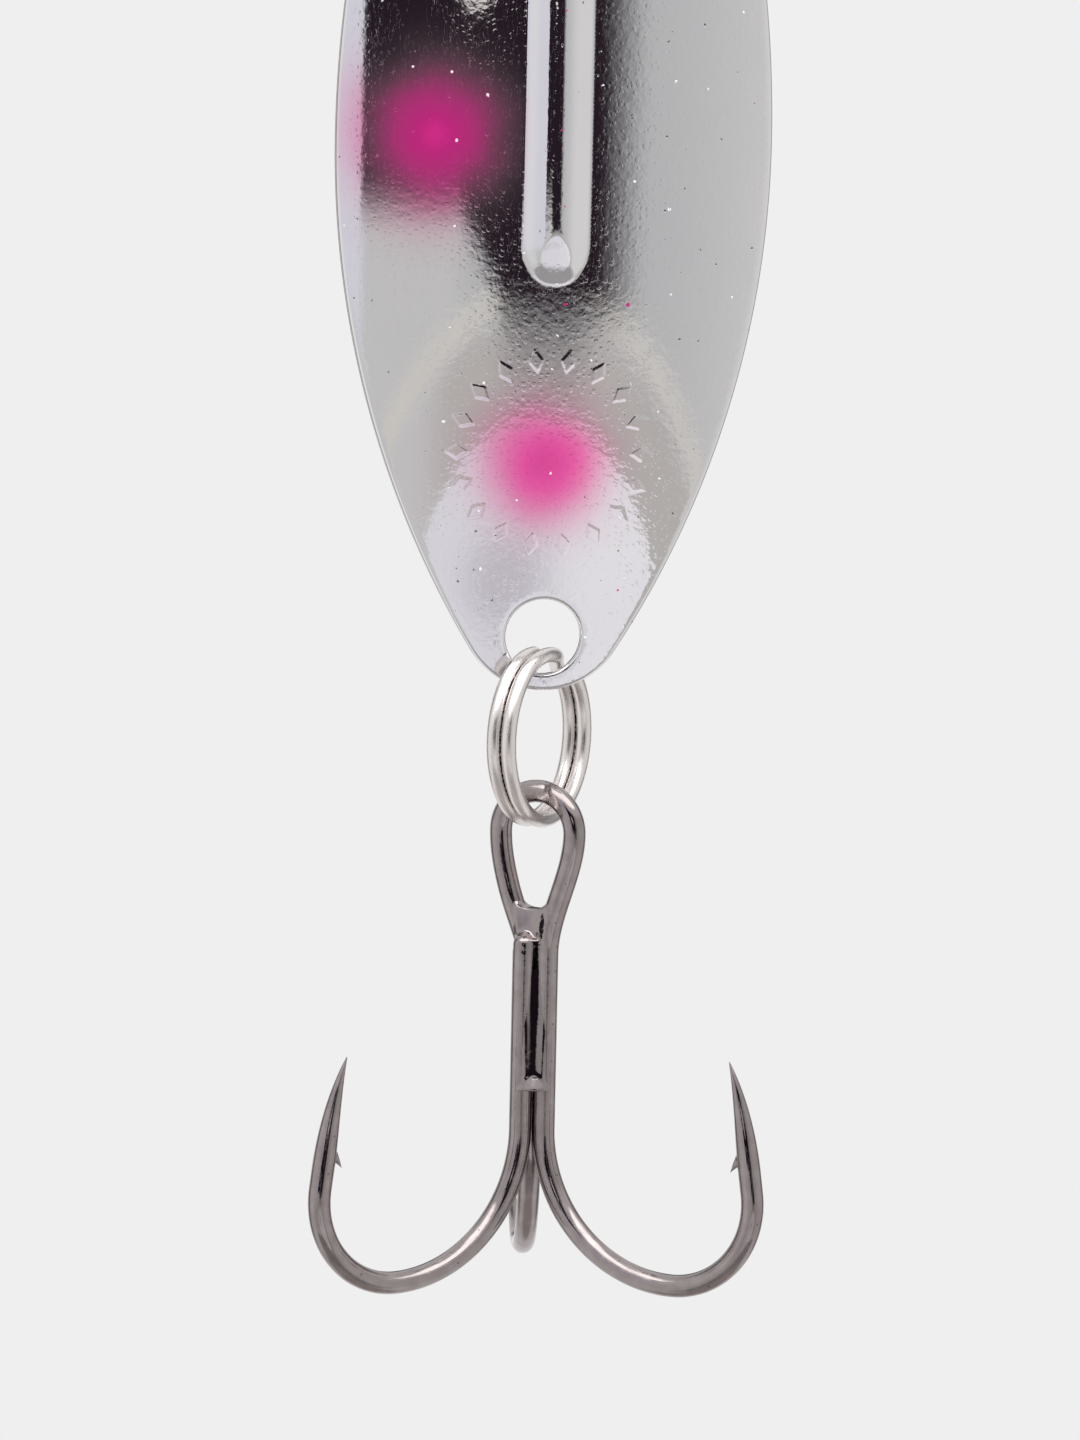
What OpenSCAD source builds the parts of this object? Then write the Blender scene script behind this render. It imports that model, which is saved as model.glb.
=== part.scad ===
// Casting spoon lure, hanging nose up from its line tie.
// +Z is up, X runs across the blade and the convex front looks along -Y.
// The origin is the line tie, the top of the inside of the nose ring.

/* [Blade] */
// Width of the blade at its widest line
blade_width = 23; // [16:0.5:30]
// Length from the widest line to the nose tip
nose_length = 34; // [26:0.5:45]
// Length from the widest line to the tail tip
tail_length = 29; // [22:0.5:38]
// Radius of the nose tip
nose_tip_radius = 3.6; // [3.2:0.1:5]
// Radius of the tail tip
tail_tip_radius = 4.5; // [3.2:0.1:6]
// Thickness of the stamped metal
blade_thickness = 0.9; // [0.7:0.05:1]
// Radius of the bow along the front
bow_radius = 170; // [140:5:300]
// Radius of the dish across the front
dish_radius = 38; // [26:1:80]
// Diameter of the two ring holes
hole_diameter = 4; // [3.8:0.1:5]
// Bevel around both rims of a hole
hole_bevel = 0.2; // [0.15:0.05:0.3]
// Metal left between a hole and its tip
hole_strip = 0.9; // [0.7:0.05:1]

/* [Rib] */
// Width of the raised rib on the front
rib_width = 3.4; // [2.6:0.1:5]
// Height of the rib above the front
rib_height = 0.7; // [0.4:0.05:0.9]
// Length of the rib, end to end
rib_length = 20; // [10:0.5:26]

/* [Split rings] */
// Inside diameter of both split rings
ring_inner_diameter = 8; // [7.4:0.1:10]
// Thickness of the ring wire
ring_wire = 0.8; // [0.6:0.05:0.9]
// Gap between the two turns of a ring
ring_turn_gap = 0.06; // [0.03:0.01:0.1]
// Arc over which the wire crosses from one turn to the other, in degrees
ring_crossover = 36; // [30:1:50]
// Turn of the tail ring away from fore and aft, in degrees
tail_ring_turn = 32.5; // [0:0.5:40]

/* [Treble hook] */
// Thickness of the hook wire
hook_wire = 1.2; // [1:0.05:1.3]
// Length from the top of the eye to the bottom of the bends
hook_length = 27; // [24:0.5:34]
// Inside radius at the top of the eye
eye_inner_radius = 1.6; // [1.5:0.05:2]
// Height inside the eye, from its top down to where its legs meet
eye_inner_height = 6.4; // [5:0.1:7]
// Bend radius between shank and bottom
shank_bend_radius = 7.7; // [6:0.1:9]
// Bend radius between bottom and point
point_bend_radius = 4.7; // [3.5:0.1:5.5]
// Inward lean of the point, in degrees
point_lean = 13; // [4:0.5:20]
// Length of the tapered point
point_taper = 6.7; // [4:0.1:8]
// Radius left at the very tip of a point
point_tip_radius = 0.04; // [0.02:0.01:0.1]
// How far a barb stands off its arm
barb_reach = 0.45; // [0.3:0.05:0.7]
// How far a barb hangs below its root
barb_drop = 0.5; // [0.3:0.05:0.8]
// Thickness of a barb
barb_thickness = 0.4; // [0.3:0.05:0.6]
// Drop from the top of the eye to the cut end of the single hook
single_hook_drop = 8.8; // [8.4:0.1:11]

/* [Braze] */
// Radius of the braze that fills in between the three shanks
braze_radius = 0.84; // [0.76:0.02:0.96]
// Drop from the top of the eye to the top of the braze
braze_drop = 7; // [6.8:0.1:8]
// Length of the braze along the shanks
braze_length = 9; // [6:0.5:11]
// Radius of the drop of braze at its lower end
braze_lip_radius = 0.6; // [0.45:0.05:0.7]

/* [Fits] */
// Play between a ring and the edge of its hole at rest
ring_clearance = 0.6; // [0.55:0.05:0.8]
// Play between the tail ring and the top of the eye at rest
eye_clearance = 0.5; // [0.4:0.05:0.7]
// Gap between neighbouring hook wires, filled with braze
shank_gap = 0.06; // [0.05:0.01:0.1]
// Film between the braze and each wire
braze_film = 0.01; // [0.005:0.005:0.015]

/* [Hidden] */

wire_fn = 48;
corner_swell = 1.01;
outline_fn = 360;
bow_fn = 1440;

// Heights, from the line tie down
ring_inner_radius = ring_inner_diameter / 2;
ring_mid_radius = ring_inner_radius + ring_wire / 2;
ring_pitch = ring_wire + ring_turn_gap;
nose_ring_z = -ring_inner_radius;
nose_tip_z = -ring_inner_diameter + ring_clearance + hole_strip;
nose_hole_z = nose_tip_z - hole_strip - hole_diameter / 2;
widest_z = nose_tip_z - nose_length;
tail_tip_z = widest_z - tail_length;
tail_hole_z = tail_tip_z + hole_strip + hole_diameter / 2;
tail_ring_z = tail_tip_z + hole_strip + ring_clearance - ring_inner_radius;
eye_mid_z = tail_ring_z - ring_inner_radius + eye_clearance - eye_inner_radius;
eye_top_z = eye_mid_z + eye_inner_radius + hook_wire;
bend_mid_z = eye_top_z - hook_length + hook_wire / 2;

// Azimuths, counted from +X towards +Y
nose_ring_azimuth = 90;
tail_ring_azimuth = 90 - tail_ring_turn;
right_hook_azimuth = tail_ring_azimuth - 90;
rear_hook_azimuth = right_hook_azimuth + 120;
left_hook_azimuth = right_hook_azimuth + 240;
front_groove_azimuth = right_hook_azimuth - 60;
// Where the wire of a ring crosses over, from the far side up towards the top
crossover_place = 66;
// Arc between a free end of the ring wire and the crossing, in degrees
crossing_end_gap = 3;

// Blade: the strips that carry the rings lie at y = 0, and the bow between them stands forward
half_width = blade_width / 2;
bow_mid_z = (nose_tip_z + tail_tip_z) / 2;
half_strip_span = (nose_tip_z - tail_tip_z - hole_strip) / 2;
half_hole_span = (nose_hole_z - tail_hole_z) / 2;
bow_mid_radius = bow_radius - blade_thickness / 2;
bow_axis_y = sqrt(pow(bow_mid_radius, 2) - pow(half_strip_span, 2));
hole_y = bow_axis_y - sqrt(pow(bow_mid_radius, 2) - pow(half_hole_span, 2));
hole_tilt = asin(half_hole_span / bow_mid_radius);
dish_ring_radius = bow_radius - dish_radius;
rib_radius = (pow(rib_width / 2, 2) + pow(rib_height, 2)) / (2 * rib_height);
rib_path_radius = bow_radius + rib_height - rib_radius;
rib_half_angle = asin((rib_length - rib_width) / 2 / bow_radius);
// Room past the blade's edges and behind its front that the cutting bodies need
side_room = 2;
dish_room = half_width + 2 * rib_height;
bow_reach = 2 * asin((nose_length + tail_length) * 0.6 / bow_radius);

// Treble hook: three shanks stand around one axis, a gap apart
shank_offset = (hook_wire + shank_gap) / sqrt(3);
eye_bend_radius = eye_inner_radius + hook_wire / 2;
shank_top_z = eye_mid_z + eye_inner_radius - eye_inner_height - hook_wire / 6;
bend_start_z = bend_mid_z + shank_bend_radius;
bend_x = shank_offset + shank_bend_radius;
point_bend_mid = [bend_x, 0, bend_mid_z + point_bend_radius];
taper_start = point_bend_mid + point_bend_radius * [cos(point_lean), 0, sin(point_lean)];
single_hook_top_z = eye_top_z - single_hook_drop;

// Legs of the eye, in the right hook's plane and counted from the eye's middle
leg_drop = shank_top_z - eye_mid_z;
rear_swing = rear_hook_azimuth - right_hook_azimuth;
right_leg_foot = [shank_offset, 0, leg_drop];
rear_leg_foot = [shank_offset * cos(rear_swing), shank_offset * sin(rear_swing), leg_drop];
right_tangent = atan2(leg_drop, right_leg_foot.x)
    + acos(eye_bend_radius / norm([right_leg_foot.x, leg_drop]));
rear_tangent = 360 + atan2(leg_drop, rear_leg_foot.x)
    - acos(eye_bend_radius / norm([rear_leg_foot.x, leg_drop]));
right_leg_top = eye_bend_radius * [cos(right_tangent), 0, sin(right_tangent)];
rear_leg_top = eye_bend_radius * [cos(rear_tangent), 0, sin(rear_tangent)];

// Ends of the braze
braze_top_z = eye_top_z - braze_drop;
braze_bottom_z = braze_top_z - braze_length;

// A smooth step from 0 to 1
function ease(t) = t <= 0 ? 0 : t >= 1 ? 1 : t * t * (3 - 2 * t);

// Middle of the ring wire where it crosses over, by the angle from the middle of the crossing
function crossing_point(angle) =
    [ring_mid_radius * cos(angle), ring_mid_radius * sin(angle),
     ring_pitch * (ease(angle / ring_crossover + 0.5) - 0.5)];

// Middle of the ring wire over its two turns, by the angle from the middle of the crossing
function turn_point(angle) =
    abs(angle) < ring_crossover / 2 ? crossing_point(angle)
    : [ring_mid_radius * cos(angle), ring_mid_radius * sin(angle), sign(angle) * ring_pitch / 2];

turn_end = 360 - ring_crossover / 2 - crossing_end_gap;
turn_step = 6;
turn_gaps = [for (a = [-turn_end:turn_step:0]) for (b = [a + 180:turn_step:turn_end])
             norm(turn_point(a) - turn_point(b)) - ring_wire];
echo(least_gap_between_ring_turns = min(turn_gaps));

// A round rod from one point to another
module rod(from, to, thickness) {
    way = to - from;
    translate(from)
        rotate([0, acos(way.z / norm(way)), atan2(way.y, way.x)])
            cylinder(d = thickness, h = norm(way), $fn = wire_fn);
}

// A round wire bent to an arc in the XZ plane, angles counted from +X towards +Z
module bend(radius, from, to, thickness) {
    rotate([90, 0, 0])
        rotate([0, 0, from])
            rotate_extrude(angle = to - from, $fn = 4 * wire_fn)
                translate([radius, 0])
                    circle(d = thickness, $fn = wire_fn);
}

// A ball that rounds off the corner where two rods meet
module corner(at, thickness) {
    translate(at)
        sphere(d = thickness * corner_swell, $fn = wire_fn);
}

// The stretch of ring wire that crosses from the first turn to the second
module ring_crossing() {
    steps = 4;
    points = [for (i = [0:steps]) crossing_point(ring_crossover * (i / steps - 0.5))];
    for (i = [1:steps])
        rod(points[i - 1], points[i], ring_wire);
    for (point = points)
        corner(point, ring_wire);
}

// A split ring: one wire wound twice, in an upright plane along an azimuth
module split_ring(mid_z, azimuth) {
    turn = 360 - ring_crossover - crossing_end_gap;
    translate([0, 0, mid_z])
        rotate([90, 0, azimuth])
            rotate([0, 0, crossover_place]) {
                for (side = [-1, 1])
                    translate([0, 0, side * ring_pitch / 2])
                        rotate([0, 0, ring_crossover / 2 + (side < 0 ? crossing_end_gap : 0)])
                            rotate_extrude(angle = turn, $fn = 4 * wire_fn)
                                translate([ring_mid_radius, 0])
                                    circle(d = ring_wire, $fn = wire_fn);
                ring_crossing();
            }
}

// Half of the blade's outline: two side arcs that run into a round tip
module half_outline(length, tip_radius) {
    tip_mid = length - tip_radius;
    side_radius = (pow(half_width, 2) - pow(tip_radius, 2) + pow(tip_mid, 2))
        / (2 * (half_width - tip_radius));
    side_end = tip_mid * side_radius / (side_radius - tip_radius);
    intersection() {
        side_lens(side_radius);
        translate([-half_width - side_room, 0])
            square([blade_width + 2 * side_room, side_end]);
    }
    translate([0, tip_mid])
        circle(r = tip_radius, $fn = outline_fn);
}

// The lens that two side arcs of one radius enclose
module side_lens(side_radius) {
    intersection() {
        translate([half_width - side_radius, 0])
            circle(r = side_radius, $fn = outline_fn);
        translate([side_radius - half_width, 0])
            circle(r = side_radius, $fn = outline_fn);
    }
}

// Turns a profile of [distance from the bow's axis, x] along the bow
module along_bow(reach) {
    translate([0, bow_axis_y, bow_mid_z])
        rotate([0, 90, 0])
            rotate([0, 0, -90 - reach / 2])
                rotate_extrude(angle = reach, $fn = bow_fn)
                    children();
}

// All that lies behind a face set a depth below the blade's front
module behind_front(depth, room, reach) {
    along_bow(reach)
        intersection() {
            translate([dish_ring_radius, 0])
                circle(r = dish_radius - depth, $fn = outline_fn);
            translate([bow_radius - dish_room - room, -half_width - room])
                square([dish_room + 2 * room, blade_width + 2 * room]);
        }
}

// Half a ball, standing on the plane z = 0
module rib_end(radius) {
    rotate([90, 0, 0])
        rotate_extrude(angle = 180, $fn = 2 * wire_fn)
            intersection() {
                circle(r = radius, $fn = wire_fn);
                translate([0, -radius])
                    square([radius, 2 * radius]);
            }
}

// The rib's round core, of a given radius, with round ends
module rib_core(radius) {
    along_bow(2 * rib_half_angle)
        translate([rib_path_radius, 0])
            circle(r = radius, $fn = wire_fn);
    for (side = [-1, 1])
        translate([0, bow_axis_y, bow_mid_z])
            rotate([side * -rib_half_angle, 0, 0])
                translate([0, -rib_path_radius, 0])
                    rotate([side * 90 - 90, 0, 0])
                        rib_end(radius);
}

// A hole square to the bowed blade, with both rims bevelled
module ring_hole(z, tilt) {
    bevel_start = blade_thickness / 2 - hole_bevel;
    bevel_height = hole_bevel + blade_thickness;
    translate([0, hole_y, z])
        rotate([90 + tilt, 0, 0]) {
            cylinder(d = hole_diameter, h = 4 * blade_thickness, center = true, $fn = 2 * wire_fn);
            for (side = [0, 1])
                mirror([0, 0, side])
                    translate([0, 0, bevel_start])
                        cylinder(r1 = hole_diameter / 2, r2 = hole_diameter / 2 + bevel_height,
                                 h = bevel_height, $fn = 2 * wire_fn);
        }
}

// Shank, bends, arm, point and barb of one hook, standing in the XZ plane
module hook_arm(top_z) {
    root = hook_wire / 2 - barb_reach / 2;
    rod([shank_offset, 0, bend_start_z], [shank_offset, 0, top_z], hook_wire);
    translate([bend_x, 0, bend_start_z])
        bend(shank_bend_radius, 180, 270, hook_wire);
    translate(point_bend_mid)
        bend(point_bend_radius, 270, 360 + point_lean, hook_wire);
    translate(taper_start)
        rotate([0, -point_lean, 0]) {
            cylinder(r1 = hook_wire / 2, r2 = point_tip_radius, h = point_taper, $fn = wire_fn);
            rotate([90, 0, 0])
                linear_extrude(barb_thickness, center = true)
                    polygon([[-root, barb_drop], [-root, 0],
                             [-hook_wire / 2 - barb_reach, -barb_drop]]);
        }
}

module nose_split_ring() {
    color("gainsboro")
        split_ring(nose_ring_z, nose_ring_azimuth);
}

module tail_split_ring() {
    color("gainsboro")
        split_ring(tail_ring_z, tail_ring_azimuth);
}

module blade() {
    color("silver")
        difference() {
            union() {
                intersection() {
                    behind_front(0, side_room, bow_reach);
                    translate([0, 0, widest_z])
                        rotate([90, 0, 0])
                            linear_extrude(4 * dish_room, center = true) {
                                half_outline(nose_length, nose_tip_radius);
                                mirror([0, 1])
                                    half_outline(tail_length, tail_tip_radius);
                            }
                }
                rib_core(rib_radius);
            }
            behind_front(blade_thickness, 2 * side_room, 1.2 * bow_reach);
            rib_core(rib_radius - blade_thickness);
            ring_hole(nose_hole_z, -hole_tilt);
            ring_hole(tail_hole_z, hole_tilt);
        }
}

// The two legs of the eye, with the corners at their ends rounded off
module eye_legs(thickness) {
    translate([0, 0, eye_mid_z])
        rotate([0, 0, right_hook_azimuth]) {
            rod(right_leg_top, right_leg_foot, thickness);
            rod(rear_leg_top, rear_leg_foot, thickness);
            for (joint = [rear_leg_top, rear_leg_foot, right_leg_foot])
                corner(joint, thickness);
        }
}

// Two hooks and the eye, bent from one wire
module double_hook() {
    color("dimgray") {
        translate([0, 0, eye_mid_z])
            rotate([0, 0, right_hook_azimuth])
                bend(eye_bend_radius, right_tangent, rear_tangent, hook_wire);
        eye_legs(hook_wire);
        for (azimuth = [right_hook_azimuth, rear_hook_azimuth])
            rotate([0, 0, azimuth])
                hook_arm(shank_top_z);
    }
}

// The third hook, brazed against the other two
module single_hook() {
    color("dimgray")
        rotate([0, 0, left_hook_azimuth])
            hook_arm(single_hook_top_z);
}

// Braze between the shanks, with a drop in the front groove at its lower end
module braze() {
    groove = shank_offset * cos(60) + hook_wire / 4;
    bore = hook_wire + 2 * braze_film;
    color("gray")
        difference() {
            union() {
                translate([0, 0, braze_bottom_z])
                    cylinder(r = braze_radius, h = braze_length, $fn = wire_fn);
                rotate([0, 0, front_groove_azimuth])
                    translate([groove, 0, braze_bottom_z])
                        sphere(r = braze_lip_radius, $fn = wire_fn);
            }
            eye_legs(bore);
            for (azimuth = [right_hook_azimuth, rear_hook_azimuth])
                rotate([0, 0, azimuth])
                    rod([shank_offset, 0, bend_start_z], [shank_offset, 0, shank_top_z], bore);
            rotate([0, 0, left_hook_azimuth])
                rod([shank_offset, 0, bend_start_z], [shank_offset, 0, single_hook_top_z], bore);
        }
}

nose_split_ring();
blade();
tail_split_ring();
double_hook();
single_hook();
braze();
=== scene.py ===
# %% [markdown]
# # A casting spoon, dressed around its fixed frame
# The packed model gives the frame: six nodes on four bodies that swing in each other. This lesson
# builds the looks around it in millimetres and hands them over in metres. Every piece stands exactly
# where its node stands, so the swinging joints keep their room.

# %% Load the frame
import math

import bmesh
import bpy
import numpy as np
from mathutils import Matrix, Quaternion, Vector, geometry


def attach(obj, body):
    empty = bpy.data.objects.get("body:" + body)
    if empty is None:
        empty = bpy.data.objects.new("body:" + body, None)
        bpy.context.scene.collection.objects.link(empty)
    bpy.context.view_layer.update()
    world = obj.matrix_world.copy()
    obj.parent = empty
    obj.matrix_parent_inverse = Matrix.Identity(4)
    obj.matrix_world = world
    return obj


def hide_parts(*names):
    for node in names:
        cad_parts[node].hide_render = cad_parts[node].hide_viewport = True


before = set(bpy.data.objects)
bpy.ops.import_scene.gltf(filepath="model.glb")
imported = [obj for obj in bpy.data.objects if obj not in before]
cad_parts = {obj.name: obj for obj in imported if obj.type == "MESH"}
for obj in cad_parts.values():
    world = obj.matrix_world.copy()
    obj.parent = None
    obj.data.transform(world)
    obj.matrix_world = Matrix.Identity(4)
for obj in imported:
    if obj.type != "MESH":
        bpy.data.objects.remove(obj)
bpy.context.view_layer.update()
MM = 0.001
scene = bpy.context.scene
scene.view_settings.view_transform = "Standard"

# %% [markdown]
# ## The camera
# The photograph is a close portrait: only the tail half of the blade, the ring and the hook are in
# the picture. The camera stands a little to the left of the front and a little above, and the lure
# leans by about a degree, so the camera is rolled by that much instead of turning the lure.

# %% Camera
CAMERA_AIM = Vector((0, 0, -71.1)) * MM
CAMERA_DISTANCE = 300 * MM
CAMERA_AZIMUTH = math.radians(-5.4)
CAMERA_ELEVATION = math.radians(5.3)
CAMERA_ROLL = math.radians(1.2)
SENSOR_WIDTH, FOCAL_LENGTH = 36, 141
CLIP_START, CLIP_END = 0.01, 20


def new_object(name, data):
    """A new object in the scene."""
    made = bpy.data.objects.new(name, data)
    scene.collection.objects.link(made)
    return made


def turn_towards(made, way, roll=0.0):
    """Turns an object's -Z axis along a way, as cameras and lamps look."""
    made.rotation_mode = "QUATERNION"
    made.rotation_quaternion = way.to_track_quat("-Z", "Y") @ Quaternion((0, 0, 1), roll)


camera_data = bpy.data.cameras.new("portrait_camera")
camera_data.sensor_width = SENSOR_WIDTH
camera_data.lens = FOCAL_LENGTH
camera_data.clip_start = CLIP_START
camera_data.clip_end = CLIP_END
camera = new_object("portrait_camera", camera_data)
towards_camera = Vector((math.sin(CAMERA_AZIMUTH) * math.cos(CAMERA_ELEVATION),
                         -math.cos(CAMERA_AZIMUTH) * math.cos(CAMERA_ELEVATION),
                         math.sin(CAMERA_ELEVATION)))
camera.location = CAMERA_AIM + towards_camera * CAMERA_DISTANCE
turn_towards(camera, -towards_camera, CAMERA_ROLL)
scene.camera = camera
print("camera at", [round(c / MM, 1) for c in camera.location], "mm")

# %% [markdown]
# ## Node helpers
# Materials, the studio tent and the wires are all node trees. They could be drawn in the node editor,
# but code is easier to read again and to change. A small wrapper keeps it short: it adds a node,
# feeds its inputs with numbers or with other nodes' outputs, and hands back an output.

# %% Node helpers
class Tree:
    """Adds nodes to a tree; an input is a number, a tuple or another node's output."""

    def __init__(self, tree):
        self.tree = tree

    def feed(self, socket, value):
        if isinstance(value, bpy.types.NodeSocket):
            self.tree.links.new(value, socket)
        else:
            socket.default_value = value

    def node(self, kind, inputs=None, **settings):
        made = self.tree.nodes.new(kind)
        for name, value in settings.items():
            setattr(made, name, value)
        for key, value in (inputs or {}).items():
            self.feed(made.inputs[key], value)
        return made

    def math(self, operation, a, b=0.0, c=0.0):
        return self.node("ShaderNodeMath", {0: a, 1: b, 2: c}, operation=operation).outputs[0]

    def times(self, first, *others):
        for other in others:
            first = self.math("MULTIPLY", first, other)
        return first

    def vector(self, operation, a, b=(0, 0, 0)):
        made = self.node("ShaderNodeVectorMath", {0: a, 1: b}, operation=operation)
        return made.outputs["Value" if operation in ("LENGTH", "DISTANCE") else "Vector"]

    def axes(self, place):
        return self.node("ShaderNodeSeparateXYZ", {0: place}).outputs

    def place(self, x, y, z=0.0):
        return self.node("ShaderNodeCombineXYZ", {0: x, 1: y, 2: z}).outputs[0]

    def noise(self, place, scale, detail, roughness=0.5, output="Fac"):
        inputs = {"Vector": place, "Scale": scale, "Detail": detail, "Roughness": roughness}
        return self.node("ShaderNodeTexNoise", inputs).outputs[output]

    def smooth(self, value, start, end, low=0.0, high=1.0):
        inputs = {"Value": value, "From Min": start, "From Max": end, "To Min": low, "To Max": high}
        return self.node("ShaderNodeMapRange", inputs, interpolation_type="SMOOTHSTEP").outputs[0]

    def band(self, value, low, high, soft):
        """1 between low and high, with soft edges."""
        return self.times(self.smooth(value, low - soft, low + soft),
                          self.smooth(value, high - soft, high + soft, 1.0, 0.0))

    def mix(self, share, a, b):
        made = self.node("ShaderNodeMix", {0: share}, data_type="RGBA")
        for socket, colour in ((made.inputs[6], a), (made.inputs[7], b)):
            self.feed(socket, (*colour, 1.0) if isinstance(colour, tuple) else colour)
        return made.outputs[2]


print("node helpers:", [name for name in vars(Tree) if not name.startswith("_")])

# %% [markdown]
# ## The studio tent
# Bright plated metal has hardly any colour of its own: it shows the room. Product photographers
# hang such a lure in a tent of pale cloth with a dark slot for the camera, and that slot draws the
# dark band down the blade. Real lamps and cards could be set up instead, but each would have to be
# moved until its mirror image fits. So a large dome plays the tent, and only reflections see it. It
# is painted by direction: azimuth counted from the front towards the right, and elevation, in degrees.

# %% Tent dome
TENT_RADIUS = 1.5
TENT_MIDDLE = Vector((0, 0, -55)) * MM


def mesh_object(name, shape):
    """An object from a finished bmesh."""
    mesh = bpy.data.meshes.new(name)
    shape.to_mesh(mesh)
    shape.free()
    return new_object(name, mesh)


dome = bmesh.new()
bmesh.ops.create_uvsphere(dome, u_segments=64, v_segments=32, radius=TENT_RADIUS)
bmesh.ops.reverse_faces(dome, faces=dome.faces)
tent = mesh_object("studio_tent", dome)
tent.location = TENT_MIDDLE
for ray in ("camera", "diffuse", "shadow", "transmission"):
    setattr(tent, "visible_" + ray, False)

tent_cloth = bpy.data.materials.new("tent_cloth")
tent_cloth.use_nodes = True
tent_cloth.cycles.emission_sampling = "NONE"
tent_cloth.node_tree.nodes.clear()
tent.data.materials.append(tent_cloth)
t = Tree(tent_cloth.node_tree)
way = t.axes(t.vector("NORMALIZE", t.node("ShaderNodeTexCoord").outputs["Object"]))
azimuth = t.math("DEGREES", t.math("ARCTAN2", way["X"], t.times(way["Y"], -1.0)))
elevation = t.math("DEGREES", t.math("ARCSINE", way["Z"]))
from_front = t.math("ABSOLUTE", azimuth)
from_back = t.math("SUBTRACT", 180.0, from_front)
print("tent radius", TENT_RADIUS, "m")

# %% [markdown]
# The dome is painted in layers, as a set painter would do it: first the cloth all round, then the
# table below, the dark slot, and last the lamps. Each layer has a share, mostly a soft edge between
# two angles, and a tone in linear light. A later layer covers the earlier ones.

# %% Tent paint
FRONT_CLOTH = (0.56, 0.56, 0.56)
FOOT_HIGH, FOOT_LOW, FOOT_CORNER, FOOT_SLOPE = -3.1, -8.2, -11.5, -0.58


def from_ellipse(middle, radii):
    """Distance of a direction from the middle of an ellipse; 1 is its rim."""
    parts = [t.math("DIVIDE", t.math("SUBTRACT", angle, start), radius)
             for angle, start, radius in zip((azimuth, elevation), middle, radii)]
    return t.math("SQRT", t.math("ADD", *(t.times(part, part) for part in parts)))


table = from_ellipse((4.0, -26.0), (24.0, 12.5))
shade = from_ellipse((-1.5, -21.5), (12.0, 4.0))
lamp = from_ellipse((-9.0, 10.5), (5.5, 5.0))
tan_cloth = t.mix(t.smooth(azimuth, -10.0, -20.0), (0.55, 0.525, 0.50), (0.67, 0.65, 0.65))
table_top = t.mix(t.smooth(azimuth, 3.0, 15.0), (0.83, 0.82, 0.86), (0.93, 0.92, 0.94))
low_cloth = t.mix(t.smooth(from_front, 74.0, 50.0), (0.88, 0.87, 0.87), (0.38, 0.37, 0.37))
beside_slot = t.times(t.smooth(azimuth, -26.5, -28.5), t.smooth(elevation, -15.0, -6.0))

# The slot's foot is level on the left, slopes down from a corner and is level again
foot = t.math("MULTIPLY_ADD", t.math("SUBTRACT", azimuth, FOOT_CORNER), FOOT_SLOPE, FOOT_HIGH)
foot = t.math("MINIMUM", t.math("MAXIMUM", foot, FOOT_LOW), FOOT_HIGH)
slot_top = t.smooth(elevation, 20.0, 27.0, 1.0, 0.0)
slot = t.times(t.smooth(azimuth, -28.3, -27.3), t.smooth(azimuth, 12.0, 22.0, 1.0, 0.0),
               t.smooth(t.math("SUBTRACT", elevation, foot), -2.0, 1.2), slot_top)
below_slot = t.times(t.band(azimuth, -2.5, 11.0, 4.0), t.smooth(elevation, -15.0, -7.5), slot_top)
soft_box = t.times(t.band(elevation, 40.0, 72.0, 3.0), t.band(azimuth, -75.0, 75.0, 10.0))
back_slot = t.times(t.smooth(from_back, 16.0, 8.0), t.band(elevation, -6.0, 26.0, 4.0))
side_slots = t.times(t.band(from_back, 38.0, 68.0, 8.0), t.band(elevation, -35.0, 35.0, 10.0))

LAYERS = {"right cloth": (t.smooth(azimuth, 15.0, 60.0), (0.78, 0.77, 0.76)),
          "left cloth": (t.smooth(azimuth, -6.0, -14.0), (0.65, 0.645, 0.635)),
          "lilac cloth": (beside_slot, (0.78, 0.775, 0.84)),
          "far left cloth": (t.smooth(azimuth, -45.0, -70.0), (0.90, 0.89, 0.88)),
          "rear cloth": (t.smooth(from_front, 100.0, 160.0), (0.86, 0.85, 0.85)),
          "cream hem": (t.band(table, 1.40, 1.52, 0.06), (0.72, 0.70, 0.65)),
          "tan cloth": (t.smooth(table, 1.42, 1.30), tan_cloth),
          "table top": (t.smooth(table, 1.03, 0.97), table_top),
          "shade on the table": (t.smooth(shade, 1.0, 0.1, 0.0, 0.75), (0.57, 0.53, 0.58)),
          "low cloth": (t.smooth(elevation, -35.0, -39.0), low_cloth),
          "cloth below": (t.smooth(elevation, -54.0, -66.0), (0.50, 0.47, 0.45)),
          "dim patch": (t.times(below_slot, 0.80), (0.16, 0.155, 0.165)),
          "camera slot": (slot, (0.022, 0.013, 0.020)),
          "round lamp": (t.smooth(lamp, 1.05, 0.9), (0.88, 0.85, 0.80)),
          "roof": (t.smooth(elevation, 20.0, 30.0), (0.93, 0.93, 0.93)),
          "soft box": (soft_box, (3.0, 3.0, 2.95)),
          "back slot": (t.times(back_slot, 0.9), (0.05, 0.05, 0.055)),
          "side slots": (t.times(side_slots, 0.8), (0.10, 0.10, 0.11))}
cloth = FRONT_CLOTH
for share, tone in LAYERS.values():
    cloth = t.mix(share, cloth, tone)
glow = t.node("ShaderNodeEmission", {"Color": cloth, "Strength": 1.0})
t.node("ShaderNodeOutputMaterial", {"Surface": glow.outputs[0]})
print("tent layers:", list(LAYERS))

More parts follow.
